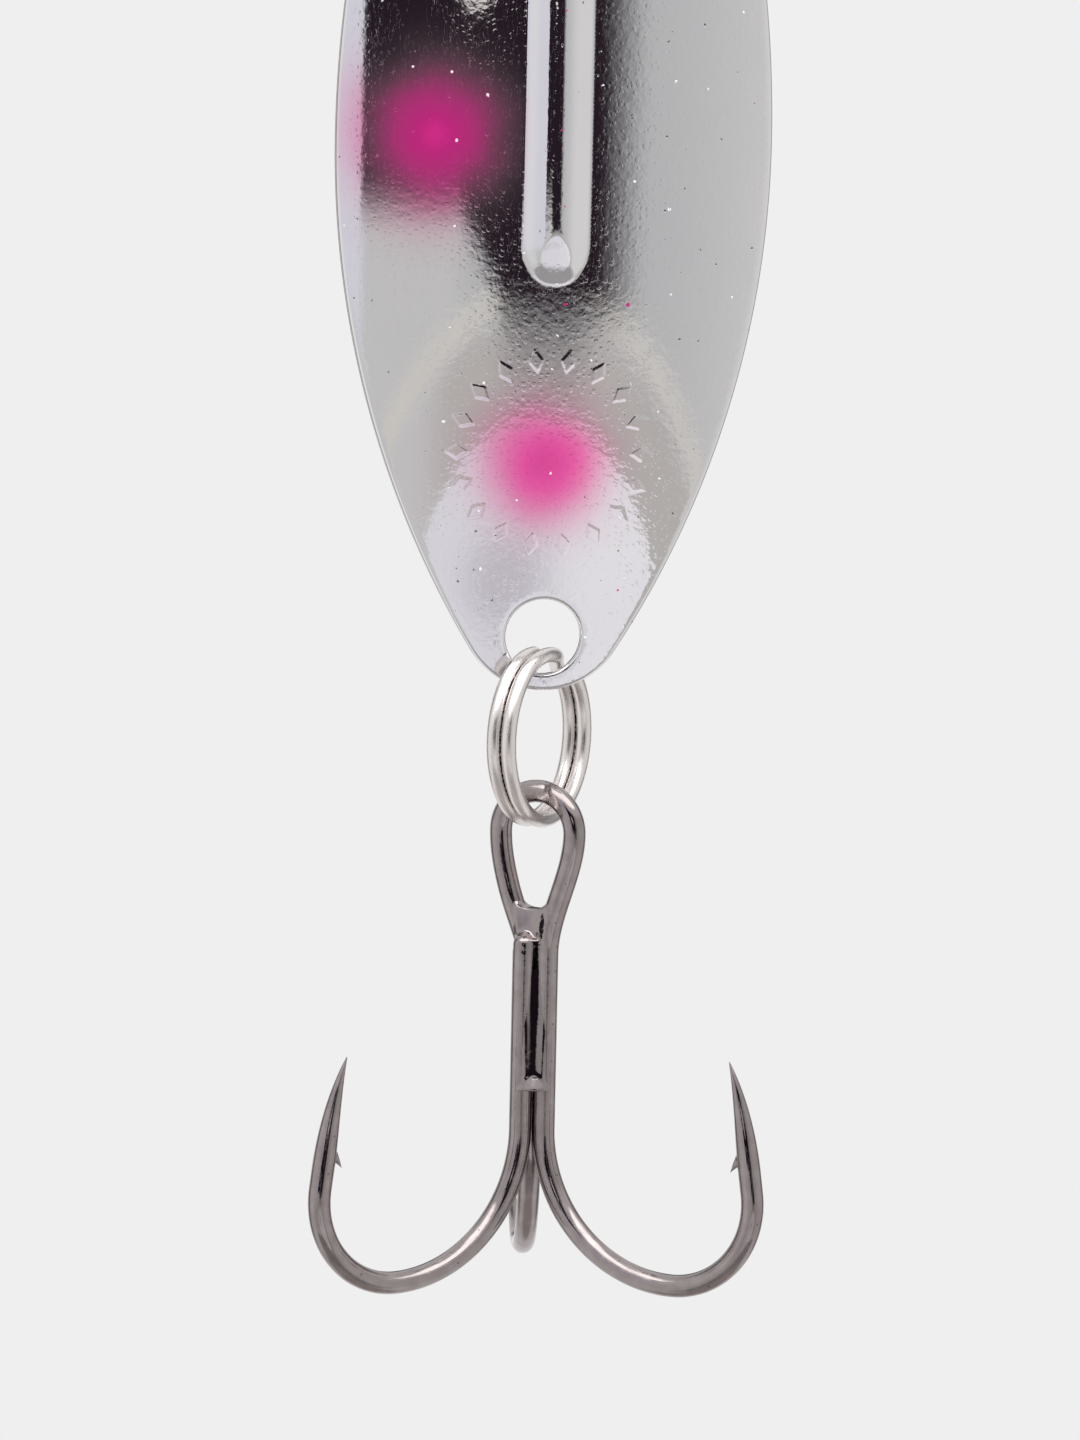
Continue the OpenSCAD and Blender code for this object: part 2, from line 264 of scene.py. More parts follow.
# %% [markdown]
# ## Room, floor and lamps
# The backdrop of the photograph is one even pale grey. A lit wall would never be so even, so the world
# shows that grey to the camera and gives a softer light to the rest. Seen from above, a small floor
# takes the shadow, and it fades out before its rim. Two soft lamps light the paint. Reflections leave
# them out, because the tent has lamps of its own.

# %% World
PALE_GREY, ROOM_LIGHT = 0.863, 0.55

world = bpy.data.worlds.new("pale_room")
scene.world = world
world.use_nodes = True
world.node_tree.nodes.clear()
w = Tree(world.node_tree)
rays = w.node("ShaderNodeLightPath").outputs
mirrored = w.math("MAXIMUM", rays["Is Glossy Ray"], rays["Is Transmission Ray"])
seen = w.math("MAXIMUM", rays["Is Camera Ray"], mirrored)
room = w.node("ShaderNodeBackground", {"Color": (1, 1, 1, 1), "Strength": ROOM_LIGHT})
backdrop = w.node("ShaderNodeBackground", {"Color": (PALE_GREY, PALE_GREY, PALE_GREY, 1)})
sky = w.node("ShaderNodeMixShader", {0: seen, 1: room.outputs[0], 2: backdrop.outputs[0]})
w.node("ShaderNodeOutputWorld", {"Surface": sky.outputs[0]})
print("backdrop", PALE_GREY, "room light", ROOM_LIGHT)

# %% Floor and lamps
FLOOR_Z = -150 * MM
FLOOR_RADIUS = 150 * MM
FLOOR_ROUGHNESS, FADE_END = 0.8, 0.4
LAMP_SIZE = 0.5


def new_finish(name):
    """A material with its tree and the inputs of its shader."""
    material = bpy.data.materials.new(name)
    material.use_nodes = True
    return material, Tree(material.node_tree), material.node_tree.nodes["Principled BSDF"].inputs


disc = bmesh.new()
bmesh.ops.create_circle(disc, cap_ends=True, radius=FLOOR_RADIUS, segments=128)
floor = mesh_object("floor", disc)
floor.location.z = FLOOR_Z
floor.visible_glossy = False
floor_paint, f, shader = new_finish("floor_paint")
floor.data.materials.append(floor_paint)
grain = f.node("ShaderNodeTexNoise", {"Scale": 40.0, "Detail": 3.0}).outputs["Fac"]
reach = f.vector("LENGTH", f.node("ShaderNodeTexCoord").outputs["Object"])
f.feed(shader["Base Color"], f.mix(grain, (0.82, 0.82, 0.82), (0.86, 0.86, 0.86)))
f.feed(shader["Roughness"], FLOOR_ROUGHNESS)
f.feed(shader["Alpha"], f.smooth(reach, FLOOR_RADIUS, FADE_END * FLOOR_RADIUS))

for name, spot, power in (("key_lamp", (-0.45, -0.75, 0.45), 6.0),
                          ("fill_lamp", (0.6, -0.6, 0.1), 3.0)):
    lamp_data = bpy.data.lights.new(name, "AREA")
    lamp_data.size = LAMP_SIZE
    lamp_data.energy = power
    soft_lamp = new_object(name, lamp_data)
    soft_lamp.location = Vector(spot)
    turn_towards(soft_lamp, CAMERA_AIM - soft_lamp.location)
    soft_lamp.visible_glossy = False
    soft_lamp.visible_camera = False
print("floor at", FLOOR_Z / MM, "mm")

# %% [markdown]
# ## Sizes
# The looks use the same sizes as the solids, in millimetres. Heights count down from the line tie.
# Only the driving sizes are written as numbers. The heights follow from them, so that a changed
# length moves everything that hangs below it.

# %% Sizes
BLADE_WIDTH, NOSE_LENGTH, TAIL_LENGTH = 23.0, 34.0, 29.0
NOSE_TIP_RADIUS, TAIL_TIP_RADIUS = 3.6, 4.5
BLADE_THICKNESS, BOW_RADIUS, DISH_RADIUS = 0.9, 170.0, 38.0
HOLE_DIAMETER, HOLE_STRIP = 4.0, 0.9
RIB_WIDTH, RIB_LENGTH = 3.4, 20.0
RING_INNER, RING_WIRE, RING_TURN_GAP, RING_CROSSOVER = 8.0, 0.8, 0.06, 36.0
TAIL_RING_TURN, CROSSOVER_PLACE, CROSSING_END_GAP = 32.5, 66.0, 3.0
HOOK_WIRE, HOOK_LENGTH = 1.2, 27.0
EYE_INNER_RADIUS = 1.6
SHANK_BEND_RADIUS, POINT_BEND_RADIUS, POINT_LEAN, POINT_TAPER = 7.7, 4.7, 13.0, 6.7
SINGLE_HOOK_DROP, BRAZE_DROP, BRAZE_LENGTH = 8.8, 7.0, 9.0
RING_CLEARANCE, EYE_CLEARANCE, SHANK_GAP = 0.6, 0.5, 0.06

NOSE_RING_Z = -RING_INNER / 2
NOSE_TIP_Z = -RING_INNER + RING_CLEARANCE + HOLE_STRIP
NOSE_HOLE_Z = NOSE_TIP_Z - HOLE_STRIP - HOLE_DIAMETER / 2
WIDEST_Z = NOSE_TIP_Z - NOSE_LENGTH
TAIL_TIP_Z = WIDEST_Z - TAIL_LENGTH
TAIL_HOLE_Z = TAIL_TIP_Z + HOLE_STRIP + HOLE_DIAMETER / 2
TAIL_RING_Z = TAIL_TIP_Z + HOLE_STRIP + RING_CLEARANCE - RING_INNER / 2
EYE_Z = TAIL_RING_Z - RING_INNER / 2 + EYE_CLEARANCE - EYE_INNER_RADIUS
EYE_TOP_Z = EYE_Z + EYE_INNER_RADIUS + HOOK_WIRE
BEND_Z = EYE_TOP_Z - HOOK_LENGTH + HOOK_WIRE / 2
BOW_MID_Z = (NOSE_TIP_Z + TAIL_TIP_Z) / 2
BOW_AXIS_Y = math.sqrt((BOW_RADIUS - BLADE_THICKNESS / 2) ** 2
                       - ((NOSE_TIP_Z - TAIL_TIP_Z - HOLE_STRIP) / 2) ** 2)
print("tail tip", TAIL_TIP_Z, "eye", round(EYE_Z, 2), "bend", round(BEND_Z, 2), "mm")

# %% [markdown]
# ## Shared finish effects
# Plated metal is never perfect. The plating follows a slightly pebbled base, called orange peel, and
# it carries pits, dust and hairline scratches. Each effect could be repeated in every material. Here
# it is a node group with its own inputs, so that the blade, the rings and the hook can all use it
# with different values.

# %% Group helper
SOCKETS = {tuple: "NodeSocketVector", float: "NodeSocketFloat", int: "NodeSocketInt",
           type(None): "NodeSocketGeometry"}


def new_group(kind, name, result, result_socket, inputs):
    """A node group with one result; returns its tree, its inputs and the socket of the result."""
    group = bpy.data.node_groups.new(name, kind)
    for title, value in inputs.items():
        socket = group.interface.new_socket(name=title, in_out="INPUT",
                                            socket_type=SOCKETS[type(value)])
        if value is not None:
            socket.default_value = value
    group.interface.new_socket(name=result, in_out="OUTPUT", socket_type=result_socket)
    tree = Tree(group)
    return tree, tree.node("NodeGroupInput").outputs, tree.node("NodeGroupOutput").inputs[0]


def finish_group(name, result, **inputs):
    """A shader group that reads a place and gives one value."""
    return new_group("ShaderNodeTree", name, result, "NodeSocketFloat",
                     {"Place": (0.0, 0.0, 0.0), **inputs})


print("socket kinds:", sorted(SOCKETS.values()))

# %% Finish groups
FINER, FINE_SHARE = 2.7, 0.35
LEAST_DOT, DOT_SPREAD = 0.4, 0.9
WOBBLE, WOBBLE_SCALE, SPRAY, SPRAY_SCALE = 1.0, 0.35, 0.5, 7.0

# Orange peel: two sizes of soft pebbles, as a height in millimetres
g, ins, out = finish_group("orange_peel", "Height", Pebble=0.4, Depth=0.004)
pitch = g.math("DIVIDE", 1.0, ins["Pebble"])
coarse = g.noise(ins["Place"], pitch, 1.0, 0.4)
fine = g.noise(ins["Place"], g.times(pitch, FINER), 1.0)
g.feed(out, g.times(g.math("MULTIPLY_ADD", fine, FINE_SHARE, coarse), ins["Depth"]))

# Specks: sparse round dots on a flat place, scattered one to a cell
g, ins, out = finish_group("specks", "Mask", Cell=1.0, Size=0.06, Share=0.3)
cells = g.node("ShaderNodeTexVoronoi", {"Vector": ins["Place"],
                                        "Scale": g.math("DIVIDE", 1.0, ins["Cell"])},
               voronoi_dimensions="2D").outputs
lots = g.node("ShaderNodeSeparateColor", {0: cells["Color"]}).outputs
chosen = g.math("LESS_THAN", lots[0], ins["Share"])
size = g.times(g.math("DIVIDE", ins["Size"], ins["Cell"]),
               g.math("MULTIPLY_ADD", lots[1], DOT_SPREAD, LEAST_DOT))
dot = g.smooth(g.math("DIVIDE", cells["Distance"], size), 1.0, 0.6)
g.feed(out, g.times(dot, chosen))

# Hairlines: thin broken lines along one direction
g, ins, out = finish_group("hairlines", "Mask", Stretch=(1.0, 1.0, 1.0), Share=0.1)
drawn = g.noise(g.vector("MULTIPLY", ins["Place"], ins["Stretch"]), 1.0, 3.0, 0.6)
ridge = g.math("ABSOLUTE", g.math("SUBTRACT", drawn, 0.5))
g.feed(out, g.smooth(ridge, ins["Share"], 0.0))

# Airbrushed spot: thickest in its middle, with a long soft fade and a little spray grain
g, ins, out = finish_group("airbrushed_spot", "Mask", Middle=(0.0, 0.0, 0.0), Spread=2.0,
                           Fall=1.5, Density=1.0)
flat = g.vector("MULTIPLY", g.vector("SUBTRACT", ins["Place"], ins["Middle"]), (1, 0, 1))
wobble = g.math("SUBTRACT", g.noise(ins["Place"], WOBBLE_SCALE, 1.0), 0.5)
spray = g.math("SUBTRACT", g.noise(ins["Place"], SPRAY_SCALE, 2.0), 0.5)
radius = g.math("MULTIPLY_ADD", wobble, WOBBLE, g.vector("LENGTH", flat))
radius = g.math("MULTIPLY_ADD", spray, SPRAY, radius)
thinning = g.math("DIVIDE", g.math("MAXIMUM", radius, 0.0), ins["Spread"])
fade = g.math("EXPONENT", g.times(g.math("POWER", thinning, ins["Fall"]), -1.0))
g.feed(out, g.times(fade, ins["Density"]))
print("finish groups:", [n.name for n in bpy.data.node_groups])

# %% [markdown]
# ## The plated, spotted blade finish
# The blade is bright chrome with soft spots of pink sprayed over it. A spot is thick in the middle,
# where it hides the metal, and thin at its rim, where the metal shines through it as through coloured
# glass. Two shaders could be mixed for that, but one is enough: where the spray is thin it tints the
# metal, and where it is thick it turns metal into paint. No paint lies on the rib nor, at rest, on
# the back.

# %% Blade paint
# Each spot has its middle, its spread in millimetres, how steeply it falls, and its density
SPOTS = [((-6.4, 0, -40.3), 2.6, 1.75, 1.0), ((-0.35, 0, -57.3), 2.2, 1.7, 0.62),
         ((6.2, 0, -24.5), 2.5, 1.75, 1.0), ((0.0, 0, -14.6), 2.15, 1.7, 0.62)]
RAGGED, TORN = 0.3, 1.6
RIB_SIDE_EDGE, RIB_END_EDGE, SPLASH = 0.3, 0.6, 0.8
TURNED_AWAY, TURNED_FRONT = 0.1, -0.2


def millimetres(tree):
    """Object coordinates in millimetres."""
    inputs = {"Vector": tree.node("ShaderNodeTexCoord").outputs["Object"],
              "Scale": (1 / MM, 1 / MM, 1 / MM)}
    return tree.node("ShaderNodeMapping", inputs).outputs[0]


def use(tree, group, **inputs):
    """Adds one of the finish groups and hands back its result."""
    made = tree.node("ShaderNodeGroup", node_tree=bpy.data.node_groups[group])
    for key, value in inputs.items():
        tree.feed(made.inputs[key], value)
    return made.outputs[0]


blade_finish, t, shader = new_finish("spotted_chrome")
place = millimetres(t)
sides = t.axes(place)
flat_place = t.place(sides["X"], sides["Z"])
jitter = t.vector("SUBTRACT", t.noise(place, 4.0, 2.0, output="Color"), (0.5, 0.5, 0.5))
ragged, torn = (t.vector("ADD", flat_place, t.vector("MULTIPLY", jitter, (reach, reach, 0.0)))
                for reach in (RAGGED, TORN))
facing = t.axes(t.node("ShaderNodeNewGeometry").outputs["Normal"])["Y"]
paint = 0.0
for middle, spread, fall, density in SPOTS:
    paint = t.math("MAXIMUM", paint, use(t, "airbrushed_spot", Place=place, Middle=middle,
                                         Spread=spread, Fall=fall, Density=density))
on_rib = t.times(t.band(sides["X"], -RIB_WIDTH / 2, RIB_WIDTH / 2, RIB_SIDE_EDGE),
                 t.band(sides["Z"], BOW_MID_Z - RIB_LENGTH / 2, BOW_MID_Z + RIB_LENGTH / 2,
                        RIB_END_EDGE))
splash = use(t, "specks", Place=ragged, Cell=3.4, Size=0.12, Share=0.20)
paint = t.times(paint, t.math("SUBTRACT", 1.0, on_rib))
paint = t.math("MAXIMUM", paint, t.times(splash, SPLASH))
# At rest the back stays bare: the paint ends where the skin turns away from the front. The normal
# is the world's, so a blade that is swung far up shows a pale tint there.
paint = t.times(paint, t.smooth(facing, TURNED_AWAY, TURNED_FRONT))
print("paint spots:", len(SPOTS), "paint nodes:", len(blade_finish.node_tree.nodes))

# %% [markdown]
# Use leaves its marks on the plating: dark pits, pale dust, scratches, and nicks that the rings have
# torn around their holes. An image could hold them, but the specks of a node group stay sharp at any
# distance. They colour the metal, and as heights in millimetres they also bend its reflections.

# %% Blade wear
# Thick paint, and the metal's tint under thin paint
PAINT_PINK, CANDY_PINK = (0.54, 0.022, 0.21), (0.80, 0.07, 0.35)
CHROME_DARK, CHROME_LIGHT = (0.76, 0.755, 0.775), (0.80, 0.79, 0.805)
PIT_DARK, NICK_GREY, DUST_PALE = (0.10, 0.09, 0.09), (0.30, 0.29, 0.29), (0.85, 0.85, 0.86)
NICKS_FAR, NICKS_NEAR = 4.4, 2.4
PEEL_PEBBLE, PEEL_DEPTH, GRAIN_HEIGHT = 0.38, 0.0036, 0.0014
PIT_DEPTH, DUST_HEIGHT, NICK_DEPTH = 0.014, 0.012, 0.012
PIT_SHARE, NICK_SHARE, DUST_SHARE = 0.85, 0.6, 0.85
TINT_POWER, COVER_POWER, METAL_LOST = 6.0, 1.2, 0.95
COVER_START, COVER_FULL = 0.3, 0.9
POLISHED_TO, PEBBLED_FROM, POLISHED_PEEL = -7.0, -1.5, 0.35
CHROME_ROUGH, CLOUD_ROUGH, SCRATCH_ROUGH, PAINT_ROUGH = 0.018, 0.025, 0.3, 0.05
COAT, COAT_ROUGH = 0.5, 0.08

pits = use(t, "specks", Place=ragged, Cell=0.95, Size=0.062, Share=0.18)
dust = use(t, "specks", Place=ragged, Cell=1.9, Size=0.085, Share=0.26)
grains = use(t, "specks", Place=flat_place, Cell=0.32, Size=0.12, Share=0.5)
nicks = use(t, "specks", Place=torn, Cell=0.5, Size=0.10, Share=0.16)
scratch = use(t, "hairlines", Place=place, Stretch=(2.6, 1.0, 0.5), Share=0.004)
near_hole = 0.0
for hole_z in (NOSE_HOLE_Z, TAIL_HOLE_Z):
    reach = t.vector("DISTANCE", flat_place, (0.0, hole_z, 0.0))
    near_hole = t.math("MAXIMUM", near_hole, t.smooth(reach, NICKS_FAR, NICKS_NEAR))
nicks = t.times(nicks, near_hole)

clouds = t.noise(place, 0.25, 3.0)
bare = t.math("POWER", t.math("SUBTRACT", 1.0, paint), TINT_POWER)
colour = t.mix(bare, CANDY_PINK, t.mix(clouds, CHROME_DARK, CHROME_LIGHT))
for share, tone in ((t.times(pits, PIT_SHARE), PIT_DARK), (t.times(nicks, NICK_SHARE), NICK_GREY),
                    (t.smooth(paint, COVER_START, COVER_FULL), PAINT_PINK),
                    (t.times(dust, DUST_SHARE), DUST_PALE)):
    colour = t.mix(share, colour, tone)
covered = t.math("MAXIMUM", t.math("POWER", paint, COVER_POWER), dust)
rough = t.math("MAXIMUM", t.math("MULTIPLY_ADD", clouds, CLOUD_ROUGH, CHROME_ROUGH),
               t.times(scratch, SCRATCH_ROUGH))

peel = use(t, "orange_peel", Place=place, Pebble=PEEL_PEBBLE, Depth=PEEL_DEPTH)
peel = t.math("MULTIPLY_ADD", grains, GRAIN_HEIGHT, peel)
# The left side was polished smoother than the right
height = t.times(peel, t.smooth(sides["X"], POLISHED_TO, PEBBLED_FROM, POLISHED_PEEL, 1.0))
for mark, lift in ((pits, -PIT_DEPTH), (dust, DUST_HEIGHT), (nicks, -NICK_DEPTH)):
    height = t.math("MULTIPLY_ADD", mark, lift, height)
bump = t.node("ShaderNodeBump", {"Height": height, "Distance": MM, "Strength": 1.0})
for key, value in (("Base Color", colour), ("Normal", bump.outputs[0]),
                   ("Metallic", t.math("SUBTRACT", 1.0, t.times(covered, METAL_LOST))),
                   ("Roughness", t.math("MULTIPLY_ADD", paint, PAINT_ROUGH, rough)),
                   ("Coat Weight", t.times(paint, COAT)), ("Coat Roughness", COAT_ROUGH)):
    t.feed(shader[key], value)
print("blade finish nodes:", len(blade_finish.node_tree.nodes))

# %% [markdown]
# ## Nickel wire and black nickel
# The split rings are drawn spring wire under bright, slightly warm nickel: fine lines run along the
# wire. The hook is plated with black nickel, which is smooth and smoky. Object coordinates would
# draw straight lines through a bent wire. So both read where they are along and around the wire from
# attributes that the sweep stores, and how much painted shade they carry in seams and crevices from a
# third one.

# %% Wire finishes
# Painted shade in seams and crevices: its near-black tone, and where it starts and where it is full
SHADE_BLACK = (0.014, 0.011, 0.012)
SHADE_START, SHADE_FULL = 0.22, 0.36
LINE_DEPTH, WIRE_PIT_DEPTH = 0.0012, 0.008
CLOUDS_ROUGH, SHADE_ROUGH, LINES_ROUGH = 0.03, 0.12, 0.06
LINES_ALONG, LINES_AROUND, PITS_AROUND = 0.35, 22.0, 3.0
PITS_SHOW, PITS_DARKER = 0.6, 0.35


def wire_finish(name, dark, light, roughness, line_share, pit_share):
    """A plated wire's material, cloudy between a dark and a light tone."""
    material, tree, inputs = new_finish(name)
    # The third attribute is painted shade, laid on the seams of the rings and the crevice of the braze
    along, around, soot = (tree.node("ShaderNodeAttribute", attribute_name=title).outputs["Fac"]
                           for title in ("along", "around", "soot"))
    spot = millimetres(tree)
    drawn_place = tree.place(tree.times(along, LINES_ALONG), tree.times(around, LINES_AROUND))
    skin_place = tree.place(along, tree.times(around, PITS_AROUND))
    lines = use(tree, "hairlines", Place=drawn_place, Stretch=(1, 1, 1), Share=line_share)
    pits = use(tree, "specks", Place=skin_place, Cell=0.7, Size=0.06, Share=pit_share)
    peel = use(tree, "orange_peel", Place=spot, Pebble=0.5, Depth=0.004)
    clouds, crumbs = tree.noise(spot, 1.4, 4.0), tree.noise(spot, 5.0, 3.0)
    # Painted shade, broken up by crumbs, darkens and roughens the wire where that attribute is laid
    shaded = tree.smooth(tree.times(soot, crumbs), SHADE_START, SHADE_FULL)
    metal = tree.mix(clouds, dark, light)
    metal = tree.mix(tree.times(pits, PITS_SHOW), metal, tuple(c * PITS_DARKER for c in dark))
    rough = roughness
    for mask, rise in ((clouds, CLOUDS_ROUGH), (shaded, SHADE_ROUGH), (lines, LINES_ROUGH)):
        rough = tree.math("MULTIPLY_ADD", mask, rise, rough)
    height = tree.math("MULTIPLY_ADD", lines, -LINE_DEPTH, peel)
    height = tree.math("MULTIPLY_ADD", pits, -WIRE_PIT_DEPTH, height)
    bump = tree.node("ShaderNodeBump", {"Height": height, "Distance": MM, "Strength": 1.0})
    for key, value in (("Base Color", tree.mix(shaded, metal, SHADE_BLACK)), ("Metallic", 1.0),
                       ("Roughness", rough), ("Normal", bump.outputs[0])):
        tree.feed(inputs[key], value)
    return material


ring_finish = wire_finish("bright_nickel_wire", dark=(0.74, 0.70, 0.68), light=(0.84, 0.79, 0.775),
                          roughness=0.22, line_share=0.10, pit_share=0.08)
hook_finish = wire_finish("black_nickel_wire", dark=(0.25, 0.215, 0.21), light=(0.42, 0.375, 0.38),
                          roughness=0.03, line_share=0.03, pit_share=0.22)
braze_finish = wire_finish("black_nickel_braze", dark=(0.26, 0.225, 0.225),
                           light=(0.38, 0.34, 0.345), roughness=0.02, line_share=0.0,
                           pit_share=0.35)
print("wire finishes:", ring_finish.name, hook_finish.name, braze_finish.name)

# %% [markdown]
# ## The blade
# The blade is a stamping: a flat outline is cut, bowed along its length and dished across, and a rib
# is pressed up in the middle. Its mesh could be carved from a subdivided block, but it is easier to
# make it as the press does. First comes the flat outline: arcs for the flanks and the tips, and a
# ring hole at each end.

# %% Blade outline
EDGE_PITCH = 0.16
FLANK_POINTS, HOLE_POINTS = 160, 96


def half_outline(length, tip_radius, count):
    """Points of one side, from the widest line to the tip, as (x, distance from that line)."""
    half = BLADE_WIDTH / 2
    tip_mid = length - tip_radius
    side = (half ** 2 - tip_radius ** 2 + tip_mid ** 2) / (2 * (half - tip_radius))
    turn = math.atan2(tip_mid, side - half)
    sweep = np.linspace(0, turn, count)
    flank = np.column_stack([half - side + side * np.cos(sweep), side * np.sin(sweep)])
    sweep = np.linspace(turn, math.pi / 2, count // 3 + 2)[1:]
    tip = np.column_stack([tip_radius * np.cos(sweep), tip_mid + tip_radius * np.sin(sweep)])
    return np.vstack([flank, tip])


def even_loop(points, pitch):
    """A closed loop resampled to an even pitch."""
    closed = np.vstack([points, points[:1]])
    run = np.concatenate([[0], np.cumsum(np.linalg.norm(np.diff(closed, axis=0), axis=1))])
    marks = np.linspace(0, run[-1], int(run[-1] / pitch), endpoint=False)
    return np.column_stack([np.interp(marks, run, closed[:, k]) for k in range(2)])


def inset(loop, distance):
    """A counter-clockwise loop moved inwards; a negative distance moves it out."""
    step = np.roll(loop, -1, axis=0) - np.roll(loop, 1, axis=0)
    step /= np.linalg.norm(step, axis=1, keepdims=True)
    return loop + distance * np.column_stack([-step[:, 1], step[:, 0]])


def hole_loop(z):
    turn = np.linspace(0, 2 * math.pi, HOLE_POINTS, endpoint=False)
    radius = HOLE_DIAMETER / 2
    return np.column_stack([radius * np.cos(turn), z + radius * np.sin(turn)])


tail = half_outline(TAIL_LENGTH, TAIL_TIP_RADIUS, FLANK_POINTS)
nose = half_outline(NOSE_LENGTH, NOSE_TIP_RADIUS, FLANK_POINTS)
right_side = np.vstack([np.column_stack([tail[::-1, 0], WIDEST_Z - tail[::-1, 1]]),
                        np.column_stack([nose[1:, 0], WIDEST_Z + nose[1:, 1]])])
left_side = right_side[::-1][1:-1] * (-1, 1)
blade_edge = even_loop(np.vstack([right_side, left_side]), EDGE_PITCH)
hole_edges = [hole_loop(NOSE_HOLE_Z), hole_loop(TAIL_HOLE_Z)]
print("edge points:", len(blade_edge), "span", blade_edge.min(0).round(2), blade_edge.max(0).round(2))

# %% [markdown]
# The relief is a height above the blade's front: the rib, pressed like a hipped roof with a rounded
# ridge, and a plain ring of low lozenges around the tail spot. Sculpting could make them too, but a
# formula keeps them even and gives the back of the sheet the same rib from behind.

# %% Blade relief
RIB_PEAK, RIB_RIDGE, RIB_END, RIB_FOOT = 0.62, 1.25, 2.2, 0.04
HIP_RUN, HIP_SLOPE, HIP_CURVE, HIP_BLEND = 2.85, 0.065, 0.055, 0.05
STUDS, STUD_RADIUS, STUD_LENGTH, STUD_WIDTH = 18, 4.9, 1.3, 0.8
STUD_HEIGHT, STUD_RIM, STUD_FLANK = 0.011, 1.1, 0.35
STUD_MIDDLE = (0.0, WIDEST_Z - 16.3)


def ease(value):
    """A soft step from 0 to 1."""
    value = np.clip(value, 0, 1)
    return value * value * (3 - 2 * value)


def smooth_union(a, b, blend):
    """The smaller of two heights or distances, with a rounded change between them."""
    near = np.maximum(blend - np.abs(a - b), 0) / blend
    return np.minimum(a, b) - near * near * blend / 4


def rib_height(x, z, width, peak):
    """A roof with a rounded ridge, a curved hip at each end and a soft foot all round."""
    to_end = RIB_LENGTH / 2 - np.abs(z - BOW_MID_Z)
    away = np.abs(x) / (width / 2), np.maximum(0, 1 - to_end / RIB_END)
    round_off, square_off = np.hypot(*away), (away[0] ** 4 + away[1] ** 4) ** 0.25
    off = square_off + (round_off - square_off) * ease(round_off)
    ridge = RIB_RIDGE / (width / 2)
    roof = np.where(off < ridge, 1 - off * off / (2 * ridge) - ridge / 2, 1 - off)
    roof = roof / (1 - ridge / 2)
    run = HIP_RUN - to_end
    hip = 1 - (HIP_SLOPE * run + HIP_CURVE * np.maximum(run, 0) ** 2) / RIB_PEAK
    roof = smooth_union(roof, hip, HIP_BLEND)
    foot = np.maximum(roof + RIB_FOOT, 0) ** 2 / (4 * RIB_FOOT)
    return peak * np.where(roof > RIB_FOOT, roof, foot)


def stud_height(x, z):
    """A plain ring of raised lozenges around the tail spot."""
    dx, dz = x - STUD_MIDDLE[0], z - STUD_MIDDLE[1]
    radius = np.hypot(dx, dz)
    turn = np.arctan2(dz, dx) * STUDS / (2 * math.pi)
    aside = np.abs(turn - np.round(turn)) * 2 * math.pi / STUDS * radius
    off = aside / (STUD_WIDTH / 2) + np.abs(radius - STUD_RADIUS) / (STUD_LENGTH / 2)
    return STUD_HEIGHT * ease((STUD_RIM - off) / STUD_FLANK)


def on_blade(x, z, depth):
    """Lifts flat points onto the bowed and dished blade, a depth below its front."""
    reach = BOW_RADIUS - DISH_RADIUS + np.sqrt((DISH_RADIUS - depth) ** 2 - x * x)
    y = BOW_AXIS_Y - np.sqrt(reach ** 2 - (z - BOW_MID_Z) ** 2)
    return np.column_stack([x, y, z])


print("rib", RIB_LENGTH, "mm long,", STUDS, "lozenges")

# %% [markdown]
# A flat grid of squares would leave steps along the curved edge. So a sheet of flat points is laid
# out, denser where there is relief, and joined by a triangulation that follows the outline and the
# holes exactly. Then each point is lifted onto the bowed and dished front. Rings of points round the
# edge and the holes give the edges their rounding, and a second sheet closes the back.

# %% Blade sheets
EDGE_MARGIN = 0.6
RIB_MARGIN, RIB_END_MARGIN, STUD_MARGIN = 0.5, 0.6, 0.3


def inside(points, loop):
    """Which points lie inside a closed loop."""
    x, z = points[:, 0], points[:, 1]
    hit = np.zeros(len(points), bool)
    for (x0, z0), (x1, z1) in zip(loop, np.roll(loop, -1, axis=0)):
        if z0 != z1:
            hit ^= ((z0 > z) != (z1 > z)) & (x < (x1 - x0) * (z - z0) / (z1 - z0) + x0)
    return hit


def hex_points(low, high, pitch):
    """Points in staggered rows that fill a box."""
    rows = np.arange(low[1], high[1], pitch * math.sqrt(3) / 2)
    line = np.arange(low[0], high[0], pitch)
    return np.vstack([np.column_stack([line + (k % 2) * pitch / 2, np.full(len(line), z)])
                      for k, z in enumerate(rows)])


def sheet(outer, holes, pitch, zones):
    """Triangulates the area between an outer loop and its holes, denser inside the zones."""
    margin = pitch * EDGE_MARGIN
    room = inset(outer, margin)
    points = hex_points(outer.min(0), outer.max(0), pitch)
    points = points[inside(points, room)]
    for zone, zone_pitch in zones:
        dense = hex_points(outer.min(0), outer.max(0), zone_pitch)
        dense = dense[zone(dense)]
        points = np.vstack([points[~zone(points)], dense[inside(dense, room)]])
    for hole in holes:
        points = points[~inside(points, inset(hole, -margin))]
    loops, links, starts = [outer, *holes], [], [0]
    for loop in loops:
        links += [(starts[-1] + k, starts[-1] + (k + 1) % len(loop)) for k in range(len(loop))]
        starts.append(starts[-1] + len(loop))
    everything = np.vstack([*loops, points])
    flat = [Vector(p) for p in everything.tolist()]
    made, _, faces, origin, _, _ = geometry.delaunay_2d_cdt(flat, links, [], 1, 1e-7)
    corners = np.array([f for f in faces if len(f) == 3])
    flat = np.array([tuple(p) for p in made])
    middle = flat[corners].mean(1)
    keep = np.ones(len(corners), bool)
    for hole in holes:
        keep &= ~inside(middle, hole)
    index = np.array([o[0] if o else -1 for o in origin])
    place = np.full(len(everything), -1)
    place[index[index >= 0]] = np.nonzero(index >= 0)[0]
    return flat, corners[keep], [place[s:e] for s, e in zip(starts[:-1], starts[1:])]


